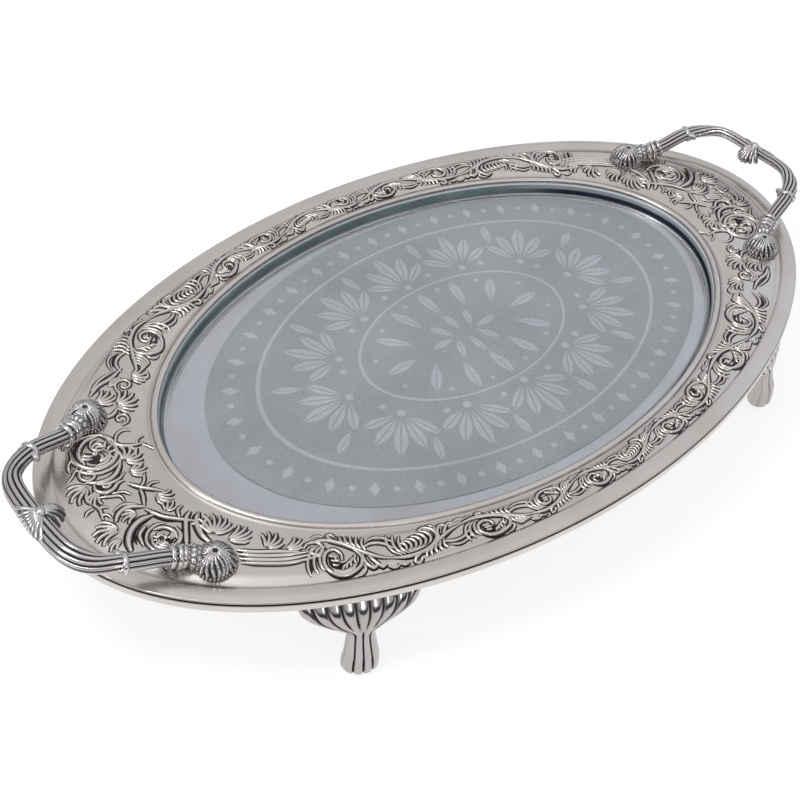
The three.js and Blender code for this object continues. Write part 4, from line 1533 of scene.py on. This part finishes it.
def footPart(right, back):
    form = footForm
    here, outward, radius = rimFrame(form["reach"])
    across = np.array([-outward[1], outward[0]])
    heights, (widths, depths, outsets) = footRows()
    turn = fullTurn(form["steps"])
    rings = []
    dark = []
    for height, halfWidth, halfDepth, outset in zip(heights, widths, depths, outsets):
        along = halfWidth * np.sin(turn)
        front = np.clip(np.cos(turn), 0, None)
        facing = np.clip(front * form["facing"], 0, 1)
        fan = eased(np.clip((height - form["waistHeight"] - form["fluteFrom"]) / form["fluteBlend"], 0, 1))
        toes = np.abs(np.sin(math.pi * form["toes"] / 2 * np.sin(turn)))
        flutes = np.abs(np.cos(math.pi * form["flutes"] / 2 * np.clip(along / halfWidth, -1, 1)))
        ribs = toes * (1 - fan) + flutes * fan
        depth = (form["toeDepth"] + form["pawDepth"] * (height < form["pawTop"])) * (1 - fan)
        depth = depth + form["fluteDepth"] * fan
        hollow = (1 - ribs) ** form["hollow"]
        lipTurn = np.clip((height - form["fanLip"] + form["lipFrom"]) / form["lipBlend"], 0, 1)
        inward = depth * hollow * facing * (1 - form["lipFade"] * lipTurn)
        sag = along ** 2 / (2 * radius)
        out = outset + halfDepth * np.cos(turn) - inward - sag
        rings.append(np.stack([
            here[0] + outward[0] * out + across[0] * along,
            here[1] + outward[1] * out + across[1] * along,
            np.full(form["steps"], float(height)),
        ], axis=1))
        # The hollows of the flutes and toes and a line at the neck are darkened: oxide and painted shade
        fromNeck = abs(height - form["waistHeight"] - form["neckRise"]) / form["neckReach"]
        neckLine = max(0, 1 - fromNeck) * form["neckDark"]
        shade = hollow * facing * form["dark"] - form["darkFrom"] + neckLine * facing
        dark.append(np.clip(shade, 0, form["darkMost"]))
    signs = np.array([1 if right else -1, 1 if back else -1, 1])
    rings = [ring * signs for ring in rings]
    if right != back:
        rings = [ring[::-1] for ring in rings]
        dark = [row[::-1] for row in dark]
    return ringPart(rings, dark)


def boxPart(centre, half, turn, tarnish):
    signs = (-1, 1)
    points = [(sx * half[0], sy * half[1], sz * half[2]) for sz in signs for sy in signs for sx in signs]
    points = [(centre[0] + x * math.cos(turn) - y * math.sin(turn),
               centre[1] + x * math.sin(turn) + y * math.cos(turn), centre[2] + z) for x, y, z in points]
    faces = [(0, 2, 3, 1), (4, 5, 7, 6), (0, 1, 5, 4), (2, 6, 7, 3), (0, 4, 6, 2), (1, 3, 7, 5)]
    return points, faces, {"tarnish": tarnish}


for corner in corners:
    right, back = "right" in corner, "back" in corner
    here, outward, _ = rimFrame(footForm["reach"])
    signs = np.array([1 if right else -1, 1 if back else -1])
    outward = outward * signs
    lugMiddle = (footForm["lugReach"] + footForm["fanInset"]) / 2
    centre = here * signs - outward * lugMiddle
    lug = boxPart((centre[0], centre[1], footForm["lugTop"] - footForm["lugThick"] / 2),
                  ((footForm["lugReach"] - footForm["fanInset"]) / 2, footForm["lugWidth"] / 2,
                   footForm["lugThick"] / 2),
                  math.atan2(outward[1], outward[0]), 0.2)
    mesh = mergedMesh(f"foot_{corner}_cast", [footPart(right, back), lug], 50)
    showPiece(f"foot_{corner}_cast", mesh, [footSilver], "tray", [f"foot_{corner}"])
print("feet made")


collar = {"ring": 1.05, "steps": 48, "sectionSteps": 12}
boss = {"strands": 23, "strandRadius": 1.02, "rootRadius": 0.42, "rows": 8, "beads": 34, "beadRadius": 0.8,
        "twist": 0.09, "points": 22}
neck = {"steps": 72, "rings": 34, "rows": 4.5, "scales": 6, "thin": 3.9, "swell": 1.3}
knot = {"buttonTurn": 150.0, "outerTurn": -14.0, "outerCurve": 62.0, "lift": -0.4, "outerRibs": 9,
        "outerSpread": 10.8, "innerRibs": 7, "innerSpread": 6.0, "innerCurve": 0.6, "ribRadius": 1.3,
        "rootRadius": 0.5, "button": 2.1, "droop": ((0, 0), (-2.8, 0.4), (-5.6, -0.6), (-7.8, -3.0),
                                                    (-8.6, -6.2))}


# A tube along a line with a radius at each point, round at both ends; its sides carry painted shade, darker
# than its top
def tubePart(points, radii, up, steps=12, flat=1.0, shade=0.9):
    points = np.asarray(points, dtype=float)
    radii = np.broadcast_to(np.asarray(radii, dtype=float), (len(points),))
    way = wayAlong(points)
    fromEnd = np.minimum(way, way[-1] - way)
    radii = radii * np.sqrt(1 - np.clip(1 - fromEnd / radii, 0, 0.97) ** 2)
    turn = fullTurn(steps)
    side = np.clip((np.abs(np.cos(turn)) - 0.55) / 0.4, 0, 1) * shade
    rings = []
    for index, point in enumerate(points):
        ahead = points[min(index + 1, len(points) - 1)] - points[max(index - 1, 0)]
        ahead = ahead / np.linalg.norm(ahead)
        wide = np.cross(up[index] if np.ndim(up) == 2 else up, ahead)
        wide = wide / np.linalg.norm(wide)
        tall = np.cross(ahead, wide)
        rings.append(point + radii[index] * hoop(turn, wide, flat * tall))
    return ringPart(rings, [side] * len(rings))


# A round ring about the handle's line
def collarPart(share, reach, thick, flat=1.0):
    centre, along, across, up, _ = handleLine.frame(share)
    turn = fullTurn(collar["steps"])
    rings = []
    dark = []
    for bend in np.linspace(-math.pi / 2, math.pi / 2, collar["sectionSteps"]):
        radius = reach - thick + thick * math.cos(bend)
        shift = along * thick * math.sin(bend)
        rings.append(centre + shift + radius * hoop(turn, across, flat * up))
        dark.append(0.5 if abs(math.sin(bend)) > 0.97 else 0.0)
    return ringPart(rings, dark)


# The neck between the collar and the dome, covered in small overlapping scales; the gaps between scales are
# darkened as oxide and painted shade
def neckPart():
    turn = fullTurn(neck["steps"])
    rings = []
    dark = []
    for place in np.linspace(0.2, 1.0, neck["rings"]):
        centre, _, across, up, _ = handleLine.frame(place / handleLine.spans)
        row = (place - 0.2) / 0.8 * neck["rows"]
        around = np.abs(np.cos(neck["scales"] * turn + math.floor(row) * math.pi / 2))
        scales = abs(math.sin(math.pi * row)) * around
        swell = neck["thin"] + neck["swell"] * math.sin(math.pi * min(max((place - 0.3) / 0.55, 0), 1)) ** 2
        radius = (swell * (0.92 + 0.11 * scales))[:, None]
        rings.append(centre + radius * hoop(turn, across, up))
        dark.append(np.clip(0.9 - 1.8 * scales, 0, 0.9))
    return ringPart(rings, dark)


def ballPart(centre, radii, axes, steps=28, rows=14, tarnish=0.0):
    turn = fullTurn(steps)
    rings = []
    for angle in np.linspace(0.05, math.pi - 0.05, rows):
        ring = centre - axes[2] * radii[2] * math.cos(angle)
        rings.append(ring + math.sin(angle) * hoop(turn, radii[0] * axes[0], radii[1] * axes[1]))
    return ringPart(rings, [tarnish] * len(rings))


# The dome over the stud: bright strands from its top to its foot over a core painted dark as the shade
# between them, and beads round the foot, darkened with painted shade
def bossParts(x, y):
    base, height, reach = (barForm[key] for key in ("bossBase", "bossHeight", "bossRadius"))
    inner = reach - boss["strandRadius"]
    core = [(0.5, base, 0.9), (inner, base, 0.9)]
    for angle in np.radians(np.linspace(8, 86, 12)):
        core.append((inner * math.cos(angle) ** 0.8, base + 0.4 + (height - 1.7) * math.sin(angle), 0.95))
    parts = [lathePart(core, x, y, 48)]
    share = np.linspace(0, 1, boss["points"])
    angle = np.radians(86 - 86 * share)
    radius = (inner * np.cos(angle) ** 0.8)[:, None]
    rise = base + 0.5 + (height - 1.5) * np.sin(angle)
    swell = np.interp(share, [0, 0.4, 1], [boss["rootRadius"], boss["strandRadius"] * 0.8,
                                           boss["strandRadius"]])
    swell = swell * (0.9 + 0.14 * np.sin(share * 2 * math.pi * boss["rows"]))
    for strand in range(boss["strands"]):
        turn = 2 * math.pi * strand / boss["strands"] + boss["twist"] * np.sin(share * 5 + strand)
        outward = np.stack([np.cos(turn), np.sin(turn), np.zeros(len(turn))], axis=1)
        line = np.array([x, y, 0]) + outward * radius
        line[:, 2] = rise
        guide = outward * np.cos(angle)[:, None]
        guide[:, 2] = np.sin(angle)
        parts.append(tubePart(line, swell, guide, 8, shade=0.65))
    axes = np.eye(3)
    for bead in range(boss["beads"]):
        turn = 2 * math.pi * bead / boss["beads"]
        centre = np.array([x + (reach - 0.4) * math.cos(turn), y + (reach - 0.4) * math.sin(turn),
                           base + 0.25])
        parts.append(ballPart(centre, (boss["beadRadius"],) * 3, axes, 8, 6, 0.45))
    return parts


# The bow tied over the bar: one ribbed fan wraps over its outer side, the other droops inside
def bowParts():
    centre, along, across, up, _ = handleLine.frame(0.5)
    wide = barForm["archHalfWidth"] + knot["lift"]
    tall = barForm["archHalfHeight"] + knot["lift"]
    share = np.sin(np.linspace(0, 1, 20) * math.pi / 2)
    swell = knot["rootRadius"] + (knot["ribRadius"] - knot["rootRadius"]) * share ** 0.8
    parts = []
    for rib in np.linspace(-1, 1, knot["outerRibs"]):
        last = knot["outerTurn"] + knot["outerCurve"] * abs(rib) ** 2
        bend = np.radians(knot["buttonTurn"] + (last - knot["buttonTurn"]) * share)
        line = centre + np.outer(wide * np.cos(bend), across) + np.outer(tall * np.sin(bend), up)
        line += np.outer(rib * knot["outerSpread"] * share ** 0.9, along)
        guide = np.outer(np.cos(bend) / wide, across) + np.outer(np.sin(bend) / tall, up)
        parts.append(tubePart(line, swell, guide))
    bend = math.radians(knot["buttonTurn"])
    button = centre + wide * math.cos(bend) * across + tall * math.sin(bend) * up
    profile = smoothLine(knot["droop"], 6)
    reach = np.linspace(0, 1, len(profile))
    for rib in np.linspace(-1, 1, knot["innerRibs"]):
        x, z = (np.interp(share, reach, profile[:, axis]) for axis in range(2))
        x = x * (1 - knot["innerCurve"] * rib ** 2)
        line = button + np.stack([x, np.zeros(len(x)), z],
                                 axis=1) + np.outer(rib * knot["innerSpread"] * share ** 0.9, along)
        slope = np.gradient(np.stack([x, z], axis=1), axis=0)
        guide = np.stack([slope[:, 1], np.zeros(len(x)), -slope[:, 0]], axis=1)
        parts.append(tubePart(line, swell, guide))
    parts.append(ballPart(button + up * 0.7, (knot["button"] * 1.3, knot["button"], knot["button"]),
                          (along, across, up)))
    return parts


# A curled leaf tip beside the bar; side 1 is the outer side of the handle
def hookPart(share, side, size, reach, curl, lift):
    centre, along, across, up, _ = handleLine.frame(share)
    forward = along if share < 0.5 else -along
    outward = across * side
    swing = np.linspace(0, curl, 18)
    line = centre + outward * (barForm["archHalfWidth"] - size * 0.9) + up * lift - forward * size
    line = line + np.outer(np.sin(swing) * reach, forward) + np.outer((1 - np.cos(swing)) * reach, outward)
    return tubePart(line, np.interp(swing / curl, [0, 0.5, 1], [size, size * 0.92, size * 0.6]), up, 14,
                    1.0, 0.4)


def handleParts():
    parts = [makeHandleBar()]
    spans = handleLine.spans
    for near in (True, False):
        def at(place):
            return place / spans if near else 1 - place / spans
        for shift, reach in ((0.86, 4.9), (1.0, 5.3), (1.15, 5.0)):
            parts.append(collarPart(at(shift), reach, collar["ring"]))
        y = barForm["bossY"] * (1 if near else -1)
        parts += bossParts(barForm["bossX"], y)
        parts.append(lathePart([
            (stud["radius"] - 0.4, 38.0, 0.1), (stud["radius"], 38.4,
                                                0.1), (stud["radius"], barForm["bossBase"] + 0.4, 0.1),
        ], barForm["bossX"], y, stud["steps"]))
        parts.append(collarPart(at(2.02), 5.0, 1.25, 0.86))
        parts.append(hookPart(at(2.14), -1, 2.1, 2.8, 1.9, 0.3))
        parts.append(hookPart(at(2.14), 1, 1.7, 1.9, 1.5, -0.3))
    points, faces, values = neckPart()
    parts.append((points, faces, values))
    parts.append((points * np.array([1.0, -1.0, 1.0]), [face[::-1] for face in faces], values))
    parts += bowParts()
    return parts


rightParts = handleParts()
for side, parts in (("right", rightParts), ("left", [turnedPart(part) for part in rightParts])):
    mesh = mergedMesh(f"handle_{side}_cast", parts)
    showPiece(f"handle_{side}_cast", mesh, [handleSilver], "tray", [f"handle_{side}"])
print("handles made")


zinc = {
    "light": (0.5, 0.5, 0.49),
    "dark": (0.36, 0.36, 0.36),
    "mottle": (260.0, 5.0),
    "mottleFrom": 0.35,
    "mottleTo": 0.65,
    "turning": (1500.0, 2.0),
    "turningStrength": 0.6,
    "turningDepth": 0.00003,
    "roughnessSpread": 0.3,
    "roughness": 0.2,
}


def makeZincMaterial():
    material, sheet, place = startMaterial("zincPlate")
    mottle, turning = (sheet.noise(place, zinc[key]) for key in ("mottle", "turning"))
    share = mottle.between(zinc["mottleFrom"], zinc["mottleTo"])
    return endMaterial(material, sheet, {
        "Base Color": sheet.blend(share, zinc["light"], zinc["dark"]),
        "Metallic": 1.0,
        "Roughness": mottle * zinc["roughnessSpread"] + zinc["roughness"],
        "Normal": sheet.add("ShaderNodeBump", {}, {
            "Strength": zinc["turningStrength"], "Distance": zinc["turningDepth"], "Height": turning,
        }),
    })


zincPlate = makeZincMaterial()
for name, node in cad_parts.items():
    if "nut" in name or "washer" in name:
        node.data.materials.clear()
        node.data.materials.append(zincPlate)
print("fasteners finished")


studio = {
    "floor": 3.0,
    "floorGlow": 0.8,
    "floorShade": (0.26, 0.26, 0.26, 1),
    "floorPlain": (0.6, 0.6, 0.6, 1),
    "white": (1, 1, 1, 1),
    "skyTop": (0.92, 0.91, 0.90),
    "skyHigh": (0.62, 0.61, 0.615),
    "skyMiddle": (0.72, 0.71, 0.725),
    "skyCool": (0.76, 0.79, 0.83),
    "skyLow": (0.02, 0.025, 0.055),
    "ramp": ((0.0, "skyLow"), (0.13, "skyLow"), (0.32, "skyMiddle"), (0.74, "skyHigh"), (1.0, "skyTop")),
    "east": (0.4, 0.85),
    "eastRise": (0.25, 0.45),
    "south": (0.45, 0.65),
    "southRise": (0.26, 0.36),
    "skyStrength": 1.0,
    "lamps": (
        ("softLamp", (-0.62, 0.2, 1.25), 0.3, 4.0),
        ("windowLamp", (-0.45, -1.5, 0.8), 0.16, 1.6),
        ("sideLamp", (-1.5, 0.3, 0.7), 0.3, 3.0),
    ),
}


def makeFloor():
    material, sheet, _ = startMaterial("floorWhite")
    rays = sheet.add("ShaderNodeLightPath").socket.node.outputs
    kinds = ("Camera", "Glossy", "Transmission")
    camera, glossy, through = (Wire(sheet, rays[f"Is {kind} Ray"]) for kind in kinds)
    seen = (camera + glossy + through).clamped()
    matt = sheet.add("ShaderNodeBsdfDiffuse", {}, {"Color": studio["floorShade"]})
    glow = sheet.add("ShaderNodeEmission", {}, {"Color": studio["white"], "Strength": studio["floorGlow"]})
    both = sheet.add("ShaderNodeAddShader", {}, [matt, glow])
    plain = sheet.add("ShaderNodeBsdfDiffuse", {}, {"Color": studio["floorPlain"]})
    mixed = sheet.add("ShaderNodeMixShader", {}, [seen, plain, both])
    sheet.add("ShaderNodeOutputMaterial", {}, {"Surface": mixed})
    half = studio["floor"]
    mesh = bpy.data.meshes.new("floor")
    mesh.from_pydata([(-half, -half, 0), (half, -half, 0), (half, half, 0), (-half, half, 0)], [],
                     [(0, 1, 2, 3)])
    mesh.materials.append(material)
    floor = linked("floor", mesh)


def makeLamp(name, place, size, power, aim=(0, 0, 0.04)):
    lamp = bpy.data.lights.new(name, "AREA")
    lamp.shape = "DISK"
    lamp.size = size
    lamp.energy = power
    holder = linked(name, lamp)
    holder.location = place
    holder.rotation_euler = (Vector(aim) - Vector(place)).to_track_quat("-Z", "Y").to_euler()


def makeWorld():
    world = bpy.data.worlds.new("studio")
    bpy.context.scene.world = world
    world.use_nodes = True
    world.node_tree.nodes.clear()
    sheet = NodeSheet(world.node_tree)
    view = sheet.add("ShaderNodeTexCoord")
    rise = sheet.part(view, "Z")
    stops = [(place, studio[key]) for place, key in studio["ramp"]]
    colour = sheet.add("ShaderNodeValToRGB", {"stops": stops}, {"Fac": rise})
    cool = sheet.part(view, "X").between(*studio["east"]) * rise.between(*studio["eastRise"])
    colour = sheet.blend(cool, colour, studio["skyCool"])
    southward = sheet.part(view, "Y") * -1.0
    shaded = southward.between(*studio["south"]) * (1.0 - rise.between(*studio["southRise"]))
    colour = sheet.blend(shaded, colour, studio["skyLow"])
    glow = sheet.add("ShaderNodeBackground", {}, {"Color": colour, "Strength": studio["skyStrength"]})
    pale = sheet.add("ShaderNodeBackground", {}, {"Color": studio["white"], "Strength": 1.0})
    mixed = sheet.add("ShaderNodeMixShader", {}, [sheet.add("ShaderNodeLightPath"), glow, pale])
    sheet.add("ShaderNodeOutputWorld", {}, {"Surface": mixed})


makeFloor()
makeWorld()
for lamp in studio["lamps"]:
    makeLamp(*lamp)
bpy.context.scene.view_settings.view_transform = "Standard"
